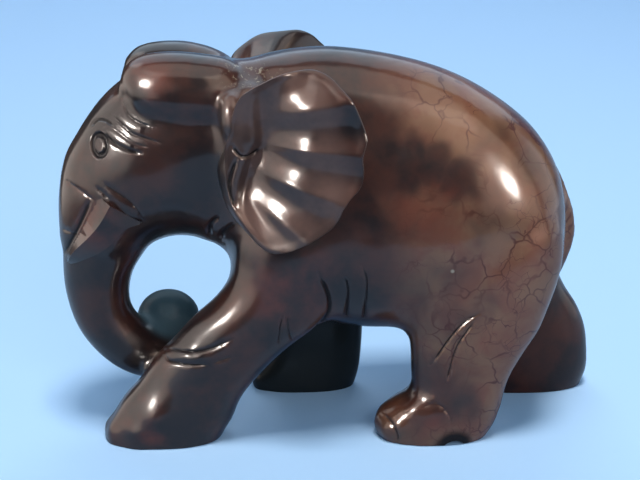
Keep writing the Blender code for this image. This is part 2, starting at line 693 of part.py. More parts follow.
def main():
    """Model the whole figure."""
    wipe()
    figure = joined("elephant", mass())
    fused(figure, CELL)
    filled(figure, FILL_ROUNDS[0])
    relaxed(figure, SMOOTH_ROUNDS[0])
    extra = [tube_skin("tail", TAIL)]
    for side in (-1, 1):
        extra.append(tube_skin("pillow", mirrored(PILLOW, side, PILLOW_FAR_SHIFT)))
        extra.append(tube_skin("fold", mirrored(EAR_FOLD, side)))
    figure = joined("elephant", [figure] + extra)
    fused(figure, DETAIL_CELL)
    filled(figure, FILL_ROUNDS[1])
    relaxed(figure, SMOOTH_ROUNDS[1])
    tusks = [wedge_skin("tusk", [mirrored(row, side) for row in TUSK]) for side in (-1, 1)]
    union(figure, [ear_skin(-1), ear_skin(1)] + tusks)
    flat_below(figure, 0.0)
    union(figure, [ball("arch", *ARCH)], "DIFFERENCE")
    fused(figure, FINE_CELL)
    carved(figure)
    levelled(figure)
    slimmed(figure, TRIANGLES)
    levelled(figure)
    settled(figure)
    figure.name = "elephant"
    figure.data.materials.clear()
    figure.data.materials.append(polished_stone())
    figure.data.shade_smooth()
    figure.data.set_sharp_from_angle(angle=math.radians(SHARP_ANGLE))
    return figure


main()
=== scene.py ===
"""Looks of the walking elephant carved from one block of dark polished stone.

The figure is one piece. It is modelled here again with a finer skin than the
solid has, on the same grid of STEPS steps along its length: x from the head
(negative) to the rump, y from its left side (negative) to its right, z up.
"""
import math

import bmesh
import bpy
import numpy as np
from mathutils import Matrix, Vector

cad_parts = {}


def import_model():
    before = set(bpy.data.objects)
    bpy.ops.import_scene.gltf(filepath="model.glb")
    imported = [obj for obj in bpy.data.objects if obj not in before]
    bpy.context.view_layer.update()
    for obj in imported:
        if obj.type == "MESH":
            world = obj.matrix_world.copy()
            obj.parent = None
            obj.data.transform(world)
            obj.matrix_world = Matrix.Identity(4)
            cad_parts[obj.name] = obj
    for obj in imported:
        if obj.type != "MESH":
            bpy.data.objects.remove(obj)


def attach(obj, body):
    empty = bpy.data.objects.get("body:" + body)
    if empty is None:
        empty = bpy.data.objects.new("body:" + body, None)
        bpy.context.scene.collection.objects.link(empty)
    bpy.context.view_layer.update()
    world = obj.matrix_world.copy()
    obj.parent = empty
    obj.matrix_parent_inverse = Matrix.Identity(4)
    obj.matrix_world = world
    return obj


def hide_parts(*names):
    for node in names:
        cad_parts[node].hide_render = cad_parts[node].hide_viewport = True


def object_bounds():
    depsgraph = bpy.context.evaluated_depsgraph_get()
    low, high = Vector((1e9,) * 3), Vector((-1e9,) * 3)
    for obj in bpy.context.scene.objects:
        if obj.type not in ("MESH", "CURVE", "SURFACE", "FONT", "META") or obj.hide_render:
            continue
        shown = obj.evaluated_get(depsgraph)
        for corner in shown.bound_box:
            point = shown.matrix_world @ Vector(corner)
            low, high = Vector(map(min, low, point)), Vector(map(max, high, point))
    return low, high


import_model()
CAD_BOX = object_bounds()

# Driving sizes
LENGTH = 0.130
STEPS = 548.0
STEP = LENGTH / STEPS

# How many parts curves, chisel lines, rings, the ear and balls have
CURVE_PARTS = 5
LINE_PARTS = 4
RIM_PARTS = 12
RING_POINTS = 40
LOOP_POINTS = 64
EAR_POINTS = 168
EAR_RINGS = 30
BALL_SEGMENTS = 36
BALL_RINGS = 24

# How the skins are run together: cell of the first net and of the net with the tail and
# the pillows, then rounds of rounding out and of smoothing after each. Rounding out
# moves a point by a share of its pull and lets it slide along the skin, and it looks up
# the directions again every few rounds. Smoothing goes a step in and a longer step out.
CELL = 4.4
DETAIL_CELL = 3.52
FILL_ROUNDS = (36, 6)
FILL_SHARE = 0.8
FILL_LOOKS_UP = 4
SLIDE = 0.15
SMOOTH_ROUNDS = (14, 3)
SMOOTH_IN = 0.5
SMOOTH_OUT = 0.515
SHARP_ANGLE = 50

# Body, as slices across x: x, top, level where it is widest, bottom, half width
BODY = [
    (-104, 328, 262, 200, 36), (-94, 350, 258, 180, 54), (-70, 368, 248, 150, 69),
    (-35, 378, 228, 122, 77), (5, 381, 210, 105, 81), (45, 377, 203, 99, 84),
    (85, 369, 203, 99, 87), (120, 358, 207, 101, 90), (150, 344, 214, 104, 91),
    (180, 325, 214, 108, 88), (205, 304, 208, 114, 80), (222, 282, 203, 124, 68),
    (233, 260, 199, 138, 52), (239, 238, 196, 155, 34), (242, 220, 196, 172, 16)]
BODY_SQUARE = 2.25

# Head, as level slices: z, front x, back x, middle y, half width
HEAD = [
    (368, -164, -70, 0, 30), (352, -188, -50, 0, 50), (336, -207, -45, 0, 57),
    (318, -222, -45, 0, 61), (300, -234, -50, 0, 63), (280, -246, -55, 0, 63),
    (255, -253, -62, 0, 61), (232, -256, -72, 0, 58), (210, -257, -80, 0, 54),
    (190, -257, -88, 0, 49)]
HEAD_SQUARE = 2.2

# Round loop between trunk, jaw and chest: middle x, z, then half thickness, radius
LOOP = (-138, 145.5)
LOOP_SPOOL = [(0, 49), (14, 53), (28, 62), (42, 75), (54, 92), (66, 112)]

# Pillow on top of the head, mirrored: x, y, z, radius up, radius across
PILLOW = [
    (-181, 31, 342, 3, 3), (-180, 31, 343, 17, 14), (-173, 31, 345, 28, 25),
    (-158, 32, 347, 34, 32), (-132, 33, 346, 36, 35), (-108, 34, 343, 33, 34),
    (-90, 33, 338, 27, 30), (-76, 32, 331, 19, 22), (-66, 31, 326, 8, 10)]
PILLOW_FAR_SHIFT = (-3, 0)

# Swelling of the neck behind the jaw, and the fold in front of each ear, mirrored
NECK_PAD = [[(-62, -52, 288), (36, 24, 62)], [(-70, -52, 326), (24, 25, 30)]]
EAR_FOLD = [
    (-87, -64, 348, 4, 4), (-85, -68, 343, 9, 9), (-84, -71, 335, 11, 12),
    (-83, -72, 326, 12, 13), (-84, -72, 318, 10, 12), (-86, -71, 310, 5, 8)]

# Chisel lines are drawn on an upright sheet at a distance y from the middle
# and thrown onto the stone from this viewpoint, if it is near the sheet and clear of
# the middle: width, depth, points (x, z). A line runs out over a share of its length
# at each end, its lips stand up by a share of its depth, and it reaches out by a count
# of line widths. It isn't cut where the skin faces away from its side.
VIEW = (-62, -1187, 572)
SHEET_DEPTH = 26
CLEAR_OF_MIDDLE = 14
LINE_END = 0.15
LINE_END_DEPTH = 0.25
LIP_PLACE = 2.2
LIP_SHARE = 0.04
LINE_REACH = 5
FACES_AWAY = -0.2
FAR_AWAY = 1e9
HEAD_LINES = [
    (-58, 1.0, 1.2, [(-183, 343), (-181, 334), (-178, 328), (-172, 323), (-166, 320), (-158, 317)]),
    (-56, 4.6, -1.1, [(-191, 332), (-185, 325), (-178, 319), (-171, 315), (-163, 312)]),
    (-55, 1.1, 1.5, [
        (-194, 329), (-187, 321), (-181, 315), (-175, 310), (-167, 307), (-159, 304), (-150, 301)]),
    (-51, 1.0, 0.8, [(-196, 316), (-188, 310), (-182, 305), (-176, 301), (-169, 298), (-161, 296)]),
    (-50, 4.0, -1.0, [(-202, 316), (-195, 309), (-189, 304), (-181, 299), (-174, 295)]),
    (-49, 1.6, 2.2, [(-202, 311), (-199, 305), (-194, 300), (-187, 296), (-178, 292), (-169, 290)]),
    (-44, 1.3, 1.7, [(-215, 315), (-210, 321), (-205, 322), (-200, 320), (-194, 315)]),
    (-52, 1.0, 1.5, [(-206, 262), (-200, 258), (-190, 250), (-181, 243), (-174, 234), (-170, 224)]),
    (-45, 1.1, 1.2, [(-213, 256), (-207, 251), (-202, 245)]),
    (-32, 1.1, 0.9, [(-245, 262), (-235, 254), (-224, 245), (-218, 240)]),
    (-28, 1.1, 0.6, [(-250, 211), (-236, 204)]),
    (-44, 2.0, 2.0, [(-219, 246), (-225, 233), (-233, 217), (-242, 201), (-249, 188)]),
    (-50, 2.2, 2.0, [(-108, 208), (-108, 216), (-105, 222), (-98, 228)]),
    (-50, 2.2, 2.0, [(-97, 205), (-96, 211), (-90, 217), (-84, 221)])]
LEFT_LINES = [
    (-76, 1.4, 2.0, [(-154, 105), (-146, 103), (-133, 101), (-123, 100), (-107, 103), (-88, 112)]),
    (-76, 1.4, 1.8, [(-153, 100), (-150, 92), (-143, 89), (-129, 86), (-112, 86)]),
    (-76, 1.1, 1.1, [(-106, 88), (-90, 93)]),
    (-80, 1.9, 2.6, [(-6, 180), (1, 165), (5, 152), (5, 141), (-1, 130), (-18, 112), (-32, 102)]),
    (-84, 1.4, 1.9, [(17, 179), (22, 164), (20, 128)]),
    (-84, 1.4, 1.7, [(35, 188), (40, 168), (37, 128)]),
    (-80, 1.2, 1.5, [(-39, 137), (-42, 123), (-44, 105)]),
    (-80, 1.2, 1.5, [(-35, 137), (-34, 122), (-30, 110)]),
    (-88, 1.4, 1.9, [(148, 139), (134, 130), (120, 114), (103, 87)]),
    (-88, 1.2, 1.7, [(145, 134), (134, 117), (125, 100), (117, 65)]),
    (-86, 1.1, 0.9, [(96, 40), (105, 44), (114, 41), (122, 31), (124, 20)]),
    (-86, 1.4, 1.6, [(57, 34), (64, 27), (69, 20), (72, 11), (71, 2)])]
EAR_LINES = [
    (-84, 1.7, 2.0, [(-84, 305), (-80, 298), (-74, 294), (-67, 296), (-61, 300), (-56, 302)]),
    (-86, 1.9, 2.4, [(-80, 293), (-85, 280), (-87, 268), (-85, 256), (-81, 246)])]

# Eye: its sheet, middle and half sizes, then place, width and depth of the groove round
# it, and how steep its walls are; 1 is the edge of the eye
EYE = (-42, (-208.5, 297), (6.4, 10.3))
EYE_GROOVE = (1.0, 0.27, 3.0)
EYE_STEEP = 4

# Swellings: place, reach, height
SWELLS = [
    ((-82, -32, 366), (32, 26, 18), 7.0), ((-135, -82, 96), (22, 14, 6), 3.0),
    ((-163, -78, 31), (15, 10, 14), 4.0), ((-182, -78, 15), (11, 9, 11), 3.8),
    ((-208, -64, 12), (9, 9, 11), 2.4), ((-216, -45, 12), (9, 8, 11), 2.4),
    ((-214, -24, 12), (9, 9, 9), 3.4), ((90, -79, 36), (10, 9, 9), 3.0),
    ((74, -81, 18), (8, 8, 9), 3.2), ((60, -77, 10), (7, 8, 9), 2.6),
    ((54, -59, 14), (9, 8, 13), 2.4), ((56, -42, 14), (9, 8, 13), 2.4),
    ((-66, 80, 13), (9, 9, 12), 3.0), ((-70, 66, 13), (9, 8, 12), 3.0),
    ((-67, 52, 12), (9, 8, 12), 3.0), ((160, 78, 13), (9, 9, 12), 2.5),
    ((157, 62, 13), (9, 8, 12), 2.5), ((159, 46, 12), (9, 8, 12), 2.5)]

# Scoop under the arch of the left hind foot
ARCH = [(128, -92, -3), (11, 17, 7.5)]

# Trunk: x, y, z of its middle line, radius in the side view, radius across, and how many
# of its rows are run together with the head before the loop is cut
TRUNK = [
    (-200, 0, 235, 55, 50), (-211, 0, 200, 44, 42), (-220, 0, 170, 36, 38),
    (-223, 0, 142, 32, 34), (-219, 0, 114, 29, 31), (-207, 1, 92, 28, 29),
    (-190, 4, 74, 27, 28), (-171, 10, 65, 27, 28), (-153, 20, 65, 27, 27),
    (-146, 32, 74, 27, 27), (-152, 42, 86, 26, 27)]
TRUNK_ROWS_FIRST = 7
TRUNK_TIP = [(-157, 43, 89), (33, 27, 31)]

# Legs, as level slices like the head's
FORE_NEAR = [
    (262, -50, -10, -40, 12), (250, -72, 10, -44, 28), (215, -84, 26, -46, 38),
    (180, -87, 20, -48, 38), (160, -93, 10, -49, 36), (142, -107, 8, -50, 35),
    (124, -128, 3, -51, 34), (104, -146, -22, -50, 34),
    (86, -163, -43, -50, 33), (60, -181, -67, -49, 33), (40, -198, -81, -48, 35),
    (20, -210, -89, -48, 35), (8, -216, -96, -47, 36), (-5, -218, -103, -47, 36)]
FORE_FAR = [
    (262, -30, 10, 40, 12), (250, -60, 36, 42, 28), (215, -82, 46, 46, 38),
    (180, -80, 50, 50, 38), (150, -72, 52, 56, 36), (120, -62, 51, 61, 33),
    (90, -54, 50, 64, 29), (62, -50, 49, 65, 27), (40, -54, 48, 66, 26),
    (20, -65, 46, 66, 26), (8, -69, 43, 66, 26), (-5, -69, 39, 66, 26)]
HIND_NEAR = [
    (285, 160, 200, -30, 10), (270, 145, 214, -36, 28), (240, 122, 224, -41, 37),
    (215, 108, 231, -46, 41), (185, 98, 233, -50, 40),
    (159, 88, 228, -54, 37), (133, 83, 220, -56, 35), (111, 84, 212, -57, 33),
    (90, 86, 200, -57, 31), (68, 87, 188, -57, 30), (52, 88, 182, -57, 31),
    (43, 85, 180, -57, 32), (36, 71, 179, -57, 33), (24, 57, 176, -57, 33),
    (10, 53, 171, -57, 33), (-5, 57, 161, -57, 32)]
HIND_FAR = [
    (285, 160, 200, 34, 10), (270, 148, 214, 40, 28), (240, 130, 226, 46, 40),
    (215, 126, 234, 50, 42), (185, 132, 238, 52, 41),
    (159, 140, 246, 54, 38), (133, 148, 255, 56, 36), (111, 156, 266, 58, 34),
    (90, 165, 280, 60, 33), (66, 172, 290, 60, 33), (40, 171, 294, 60, 34),
    (20, 164, 295, 60, 34), (8, 160, 292, 60, 34), (-5, 160, 287, 60, 33)]
LEG_SQUARE = 2.3

# Tail, hanging between the buttocks: x, y, z, radius back to front, radius across
TAIL = [
    (186, 2, 298, 8, 12), (208, 2, 280, 7, 11), (224, 2, 263, 7, 9), (234, 2, 247, 7, 8),
    (242, 2, 228, 7, 8), (249, 2, 207, 7, 8), (250, 2, 184, 7, 8), (243, 2, 160, 7, 9),
    (232, 2, 138, 8, 11), (226, 2, 122, 7, 9), (222, 2, 110, 4, 5)]

# Tusk with its lip, mirrored: a wedge, by places (x, y, z) of its upper edge, its ridge,
# its lower edge and its buried edge
TUSK = [
    [(-211, -50, 250), (-199, -62, 243), (-170, -53, 223), (-190, -18, 236)],
    [(-218, -48, 235), (-208, -64, 228), (-187, -57, 218), (-202, -18, 227)],
    [(-225, -45, 221), (-217, -60, 216), (-200, -55, 204), (-212, -18, 213)],
    [(-234, -40, 206), (-227, -54, 205), (-211, -50, 194), (-223, -18, 200)],
    [(-243, -34, 192), (-238, -45, 193), (-224, -43, 186), (-233, -18, 189)],
    [(-247, -29, 184), (-244, -37, 183), (-236, -35, 179), (-241, -16, 182)],
    [(-248, -27, 178), (-246, -31, 178), (-244, -29, 175), (-246, -16, 177)]]

# Ear, mirrored: outline of its rim, the middle of its shell, and the place
# in the neck that its back runs into
EAR_RIM = [
    (-85, 318), (-84, 328), (-81, 340), (-76, 350), (-68, 357), (-57, 364), (-46, 369), (-32, 372),
    (-14, 374), (-4, 372), (5, 367), (11, 361), (17, 355), (23, 348), (29, 335), (34, 322),
    (36, 314), (34, 306), (32, 297), (33, 288), (33, 279), (30, 269), (22, 260), (15, 250),
    (11, 240), (4, 231), (-8, 223), (-20, 216), (-31, 210), (-43, 207), (-53, 209), (-62, 216),
    (-70, 226), (-78, 236), (-84, 246), (-88, 257), (-90, 270), (-91, 283), (-91, 296), (-90, 306)]
EAR_MIDDLE = (-56, 300)
EAR_NECK = (-74, 292)
EAR_FAR_SHIFT = (-8, 9)

# How far the ear stands out: in front, behind, between which x it spreads, and what its
# top front adds, between which levels and which x
EAR_FRONT_OUT = 82
EAR_BACK_OUT = 109
EAR_SPREAD_X = (-104, -6)
EAR_TOP_OUT = 6
EAR_TOP_LEVELS = (320, 375)
EAR_TOP_X = (-30, -60)
EAR_DISH = 6.0
EAR_DISH_POWER = 1.5
EAR_RIM_POWER = 4
EAR_LIP = 1.6
EAR_LIP_PLACE = (0.985, 0.045)

# The fold down the ear: level and x of its bottom, the levels over which it sinks in, its
# depth, and its width in front and behind
EAR_VALLEY = [
    (206, -60), (218, -65), (234, -71), (248, -74), (262, -72), (275, -68), (287, -64), (299, -58),
    (309, -54), (323, -55), (337, -56), (351, -57), (366, -58)]
EAR_VALLEY_LEVELS = (204, 262)
EAR_VALLEY_DEPTH = 14.0
EAR_VALLEY_FRONT = 8.5
EAR_VALLEY_BACK = 24.0

# Flutes of the ear, spread from a place in front of it by an angle: the gap between two
# crests, the highest crest, the angles between which they fade out below, the distance
# behind the fold over which they rise, their depth and the share lost at the rim
EAR_FAN = (-150, 313)
EAR_FAN_GAP = 15.5
EAR_FAN_TOP = 11.5
EAR_FAN_LOW = (-48, -36)
EAR_FAN_RISE = (-4, 34)
EAR_FLUTE = 5.5
EAR_FLUTE_POWER = 1.2
EAR_FLUTE_LOST = 0.35

# The lobe above the highest crest leans back: its slope, the run of its bend, and the
# distance behind the fold over which it starts
EAR_LEAN = 0.7
EAR_BEND = 5.0
EAR_LEAN_RISE = (0, 44)

# The wall from the rim to the neck: its steps, each a share of the way out to the rim and
# a depth in EAR_THICK, then how far it spreads at its low front, from which levels and x,
# and the depth at which it is fully spread
EAR_THICK = 7.0
EAR_WALL = [
    (1.005, 0.08), (1.009, 0.22), (1.005, 0.38), (0.985, 0.8), (0.94, 1.4), (0.84, 2.6),
    (0.7, 4.2), (0.5, 6.4), (0.3, 8.0)]
EAR_SPREAD = 9.5
EAR_SPREAD_LEVELS = (308, 280)
EAR_SPREAD_FRONT = (-36, -54)
EAR_SPREAD_DEPTH = 1.4

# Finer skin: how far from a line its faces are split, in line widths, pass by pass,
# how far out around the eye, and how far from a line they are looked at
SPLIT_REACHES = (2.8, 2.2)
EYE_REACH = 1.8
SPLIT_LOOKS = 4


def curved(a, b, c, d, parts):
    """Places from b on towards c, on a smooth curve through all four."""
    return [0.5 * (2 * b + (c - a) * t + (2 * a - 5 * b + 4 * c - d) * t * t
                   + (3 * b - a - 3 * c + d) * t ** 3)
            for t in np.linspace(0.0, 1.0, parts, endpoint=False)]


def eased(rows, parts):
    """Rows of numbers with a smooth curve run through them."""
    grid = np.array(rows, float)
    padded = np.vstack([2 * grid[0] - grid[1], grid, 2 * grid[-1] - grid[-2]])
    out = []
    for k in range(len(grid) - 1):
        out += curved(*padded[k:k + 4], parts)
    return np.array(out + [grid[-1]])


def oval(middle, across, along, power=2.0, count=RING_POINTS):
    """Points round an oval with the two half axes given, more square at a higher power."""
    points = []
    for k in range(count):
        a = 2 * math.pi * k / count
        c, s = (math.copysign(abs(v) ** (2.0 / power), v) for v in (math.cos(a), math.sin(a)))
        points.append(middle + across * c + along * s)
    return points


def placed(name, data):
    """A new object in the scene."""
    thing = bpy.data.objects.new(name, data)
    bpy.context.scene.collection.objects.link(thing)
    return thing


def add_mesh(name, points, faces):
    """One object from points in steps."""
    mesh = bpy.data.meshes.new(name)
    mesh.from_pydata([tuple(Vector(p) * STEP) for p in points], [], faces)
    mesh.update()
    return placed(name, mesh)


def loft(name, rings):
    """A closed skin over rings of equal count, with a point at each end."""
    count = len(rings[0])
    points = [p for ring in rings for p in ring]
    faces = []
    for r in range(len(rings) - 1):
        for k in range(count):
            n = (k + 1) % count
            faces.append((r * count + k, r * count + n, (r + 1) * count + n, (r + 1) * count + k))
    for r, flip in ((0, True), (len(rings) - 1, False)):
        hub = len(points)
        points.append(sum(rings[r], Vector()) / count)
        for k in range(count):
            n = (k + 1) % count
            pair = (r * count + n, r * count + k) if flip else (r * count + k, r * count + n)
            faces.append((*pair, hub))
    thing = add_mesh(name, points, faces)
    face_out(thing.data)
    return thing


def face_out(mesh):
    """Turn every face outward."""
    work = bmesh.new()
    work.from_mesh(mesh)
    bmesh.ops.recalc_face_normals(work, faces=work.faces)
    work.to_mesh(mesh)
    work.free()


def body_skin():
    """The barrel of the body, lofted along x."""
    rings = []
    for x, top, widest, bottom, half in eased(BODY, CURVE_PARTS):
        ring = oval(Vector((x, 0, 0)), Vector((0, half, 0)), Vector((0, 0, 1)), BODY_SQUARE)
        for point in ring:
            point.z = widest + point.z * (top - widest if point.z > 0 else widest - bottom)
        rings.append(ring)
    return loft("body", rings)


def level_skin(name, rows, power=LEG_SQUARE):
    """The head or a leg, lofted downward."""
    rings = []
    for z, front, back, y, half in eased(rows, CURVE_PARTS):
        rings.append(oval(Vector(((front + back) / 2, y, z)), Vector(((back - front) / 2, 0, 0)),
                          Vector((0, half, 0)), power))
    return loft(name, rings)


def tube_skin(name, rows):
    """A round limb along a curved middle line: x, y, z, radius up, radius across."""
    path = eased(rows, CURVE_PARTS)
    rings = []
    side = Vector((0, 1, 0))
    for k, row in enumerate(path):
        here = Vector(row[:3])
        ahead = Vector(path[min(k + 1, len(path) - 1)][:3]) - Vector(path[max(k - 1, 0)][:3])
        ahead.normalize()
        side = (side - ahead * side.dot(ahead)).normalized()
        up = ahead.cross(side)
        rings.append(oval(here, up * row[3], side * row[4]))
    return loft(name, rings)


def ball(name, middle, radii):
    """A stretched ball."""
    work = bmesh.new()
    bmesh.ops.create_uvsphere(work, u_segments=BALL_SEGMENTS, v_segments=BALL_RINGS, radius=1.0)
    mesh = bpy.data.meshes.new(name)
    work.to_mesh(mesh)
    work.free()
    size = Matrix.Diagonal((*[r * STEP for r in radii], 1.0))
    mesh.transform(Matrix.Translation(Vector(middle) * STEP) @ size)
    mesh.update()
    return placed(name, mesh)


def wedge_skin(name, rows):
    """A pointed wedge along the rows, each with the same count of edges."""
    edges = [eased(line, CURVE_PARTS) for line in zip(*rows)]
    return loft(name, [[Vector(point) for point in ring] for ring in zip(*edges)])


def baked(thing):
    """Replace an object's mesh by what its modifiers make of it."""
    graph = bpy.context.evaluated_depsgraph_get()
    mesh = bpy.data.meshes.new_from_object(thing.evaluated_get(graph))
    thing.modifiers.clear()
    thing.data = mesh
    return thing


def joined(name, things):
    """Several skins in one mesh."""
    work = bmesh.new()
    for thing in things:
        work.from_mesh(thing.data)
        bpy.data.objects.remove(thing, do_unlink=True)
    mesh = bpy.data.meshes.new(name)
    work.to_mesh(mesh)
    work.free()
    return placed(name, mesh)


def fused(thing, cell):
    """One closed skin round everything in the mesh."""
    net = thing.modifiers.new("fuse", "REMESH")
    net.mode = "VOXEL"
    net.voxel_size = cell * STEP
    net.adaptivity = 0.0
    return baked(thing)


def read(mesh):
    """Points, in steps, and edges as arrays."""
    spots = np.empty(len(mesh.vertices) * 3)
    mesh.vertices.foreach_get("co", spots)
    pairs = np.empty(len(mesh.edges) * 2, int)
    mesh.edges.foreach_get("vertices", pairs)
    return spots.reshape(-1, 3) / STEP, pairs.reshape(-1, 2)


def put(mesh, spots):
    """Move the points of a mesh to new places, in steps."""
    mesh.vertices.foreach_set("co", (spots * STEP).ravel())
    mesh.update()


def normals(mesh):
    """The direction in which the skin faces at each point."""
    out = np.empty(len(mesh.vertices) * 3)
    mesh.vertex_normals.foreach_get("vector", out)
    return out.reshape(-1, 3)


def neighbour_mean(spots, pairs):
    """The average place of each point's neighbours."""
    count = np.bincount(pairs.ravel(), minlength=len(spots))
    out = np.empty_like(spots)
    for axis in range(3):
        out[:, axis] = (np.bincount(pairs[:, 0], spots[pairs[:, 1], axis], len(spots))
                        + np.bincount(pairs[:, 1], spots[pairs[:, 0], axis], len(spots)))
    return out / np.maximum(count, 1)[:, None]


def filled(thing, rounds):
    """Round out the inner corners and leave the crowns as they are."""
    spots, pairs = read(thing.data)
    for step in range(rounds):
        if step % FILL_LOOKS_UP == 0:
            put(thing.data, spots)
            facing = normals(thing.data)
        pull = neighbour_mean(spots, pairs) - spots
        out = np.einsum("ij,ij->i", pull, facing)
        spots += facing * (FILL_SHARE * np.maximum(out, 0.0))[:, None]
        spots += SLIDE * (pull - facing * out[:, None])
    put(thing.data, spots)
    return thing


def evened(spots, pairs, weight=1.0):
    """Smooth the places themselves without shrinking: a step in, then a step out."""
    spots += SMOOTH_IN * weight * (neighbour_mean(spots, pairs) - spots)
    spots -= SMOOTH_OUT * weight * (neighbour_mean(spots, pairs) - spots)


def relaxed(thing, rounds):
    """Smooth a skin in several rounds."""
    spots, pairs = read(thing.data)
    for step in range(rounds):
        evened(spots, pairs)
    put(thing.data, spots)
    return thing


def union(thing, others, how="UNION"):
    """Add or cut other closed skins, with crisp seams."""
    for other in others:
        step = thing.modifiers.new("join", "BOOLEAN")
        step.operation = how
        step.solver = "EXACT"
        step.object = other
        baked(thing)
        bpy.data.objects.remove(other, do_unlink=True)
    return thing


def loop_cutter():
    """A spool on a cross axis, waisted in the middle, that opens the trunk's loop."""
    half = [(r, -d) for d, r in reversed(LOOP_SPOOL[1:])]
    rows = half + [(r, d) for d, r in LOOP_SPOOL]
    rings = []
    for radius, y in rows:
        rings.append(oval(Vector((LOOP[0], y, LOOP[1])), Vector((radius, 0, 0)),
                          Vector((0, 0, radius)), count=LOOP_POINTS))
    return loft("loop", rings)


def run_along(line):
    """The distance along a line up to each of its points."""
    return np.concatenate([[0], np.cumsum(np.linalg.norm(np.diff(line, axis=0), axis=1))])


def closed_curve(rows, count):
    """A smooth closed line through the rows, cut in even steps."""
    ring = np.array(rows, float)
    n = len(ring)
    line = []
    for k in range(n):
        line += curved(*(ring[(k + j) % n] for j in (-1, 0, 1, 2)), RIM_PARTS)
    line = np.array(line + [line[0]])
    run = run_along(line)
    spots = np.linspace(0, run[-1], count, endpoint=False)
    return np.column_stack([np.interp(spots, run, axis) for axis in line.T])


def step_up(value, low, high):
    """A soft step from 0 at low to 1 at high."""
    t = np.clip((value - low) / (high - low), 0.0, 1.0)
    return t * t * (3 - 2 * t)


def ear_out(x, z, share):
    """How far the ear's face stands out at places in it."""
    valley = eased(EAR_VALLEY, CURVE_PARTS)
    off = x - np.interp(z, valley[:, 0], valley[:, 1])
    out = EAR_FRONT_OUT + (EAR_BACK_OUT - EAR_FRONT_OUT) * step_up(x, *EAR_SPREAD_X)
    out += EAR_TOP_OUT * step_up(z, *EAR_TOP_LEVELS) * step_up(x, *EAR_TOP_X)
    out -= EAR_DISH * (1 - share) ** EAR_DISH_POWER
    width = np.where(off > 0, EAR_VALLEY_BACK, EAR_VALLEY_FRONT)
    sunk = EAR_VALLEY_DEPTH * step_up(z, *EAR_VALLEY_LEVELS) * (1 - share ** EAR_RIM_POWER)
    out -= sunk * np.exp(-(off / width) ** 2)
    turn = np.degrees(np.arctan2(z - EAR_FAN[1], x - EAR_FAN[0]))
    wave = np.abs(np.sin(np.pi * (turn - EAR_FAN_TOP) / EAR_FAN_GAP)) ** EAR_FLUTE_POWER
    wave *= (turn < EAR_FAN_TOP) * step_up(turn, *EAR_FAN_LOW) * step_up(off, *EAR_FAN_RISE)
    out -= EAR_FLUTE * wave * (1 - EAR_FLUTE_LOST * share ** EAR_RIM_POWER)
    away = np.hypot(x - EAR_FAN[0], z - EAR_FAN[1])
    above = np.radians(np.maximum(turn - EAR_FAN_TOP, 0)) * away
    out -= EAR_LEAN * above ** 2 / (above + EAR_BEND) * step_up(off, *EAR_LEAN_RISE)
    return out + EAR_LIP * np.exp(-((share - EAR_LIP_PLACE[0]) / EAR_LIP_PLACE[1]) ** 2)


def ear_skin(side):
    """A fluted shell, dished towards its middle, with a thin rim that stands free."""
    shift = EAR_FAR_SHIFT if side > 0 else (0, 0)
    rim = closed_curve(EAR_RIM, EAR_POINTS)
    middle, neck = np.array(EAR_MIDDLE), np.array(EAR_NECK)
    rings = []
    for k in range(1, EAR_RINGS + 1):
        spots = middle + (rim - middle) * k / EAR_RINGS
        rings.append((spots, ear_out(spots[:, 0], spots[:, 1], k / EAR_RINGS)))
    edge = ear_out(rim[:, 0], rim[:, 1], 1.0)
    outward = (rim - middle) / np.linalg.norm(rim - middle, axis=1)[:, None]
    low_front = step_up(rim[:, 1], *EAR_SPREAD_LEVELS) * step_up(rim[:, 0], *EAR_SPREAD_FRONT)
    for share, depth in EAR_WALL:
        spread = EAR_SPREAD * low_front * min(1.0, depth / EAR_SPREAD_DEPTH)
        spots = neck + (rim - neck) * share + outward * spread[:, None]
        rings.append((spots, edge - EAR_THICK * depth))
    return loft("ear", [[Vector((x + shift[0], side * y, z + shift[1]))
                         for (x, z), y in zip(*ring)] for ring in rings])


def flat_below(thing):
    """Cut the figure off at z = 0, so that its feet stand flat."""
    work = bmesh.new()
    work.from_mesh(thing.data)
    every = work.verts[:] + work.edges[:] + work.faces[:]
    cut = bmesh.ops.bisect_plane(work, geom=every, plane_co=(0, 0, 0), plane_no=(0, 0, 1),
                                 clear_inner=True)
    rim = [e for e in cut["geom_cut"] if isinstance(e, bmesh.types.BMEdge)]
    bmesh.ops.holes_fill(work, edges=rim, sides=0)
    work.to_mesh(thing.data)
    work.free()
    return thing


def thrown(spots, sheet, side):
    """Where places on one side fall on the upright sheet, in x and z, seen from VIEW."""
    across = spots[:, 1] * -side
    share = (sheet - VIEW[1]) / (across - VIEW[1])
    return np.column_stack([VIEW[i] + (spots[:, i] - VIEW[i]) * share for i in (0, 2)])


def from_line(every, rows, reach):
    """Distance of each place from a line if within reach, and the share along it."""
    line = eased(rows, LINE_PARTS)
    run = run_along(line)
    far = np.full(len(every), FAR_AWAY)
    share = np.zeros(len(every))
    inside = np.all((every > line.min(0) - reach) & (every < line.max(0) + reach), axis=1)
    inside = np.flatnonzero(inside)
    places = every[inside]
    for k in range(len(line) - 1):
        step = line[k + 1] - line[k]
        t = np.clip((places - line[k]) @ step / (step @ step), 0, 1)
        away = np.linalg.norm(places - line[k] - t[:, None] * step, axis=1)
        near = away < far[inside]
        far[inside[near]] = away[near]
        share[inside[near]] = ((run[k] + t * (run[k + 1] - run[k])) / run[-1])[near]
    return far, share


def lines_on(side):
    """Every chisel line on one side, with its shift."""
    shift = EAR_FAR_SHIFT if side > 0 else (0, 0)
    rows = [(line, (0, 0)) for line in HEAD_LINES + (LEFT_LINES if side < 0 else [])]
    return rows + [(line, shift) for line in EAR_LINES]


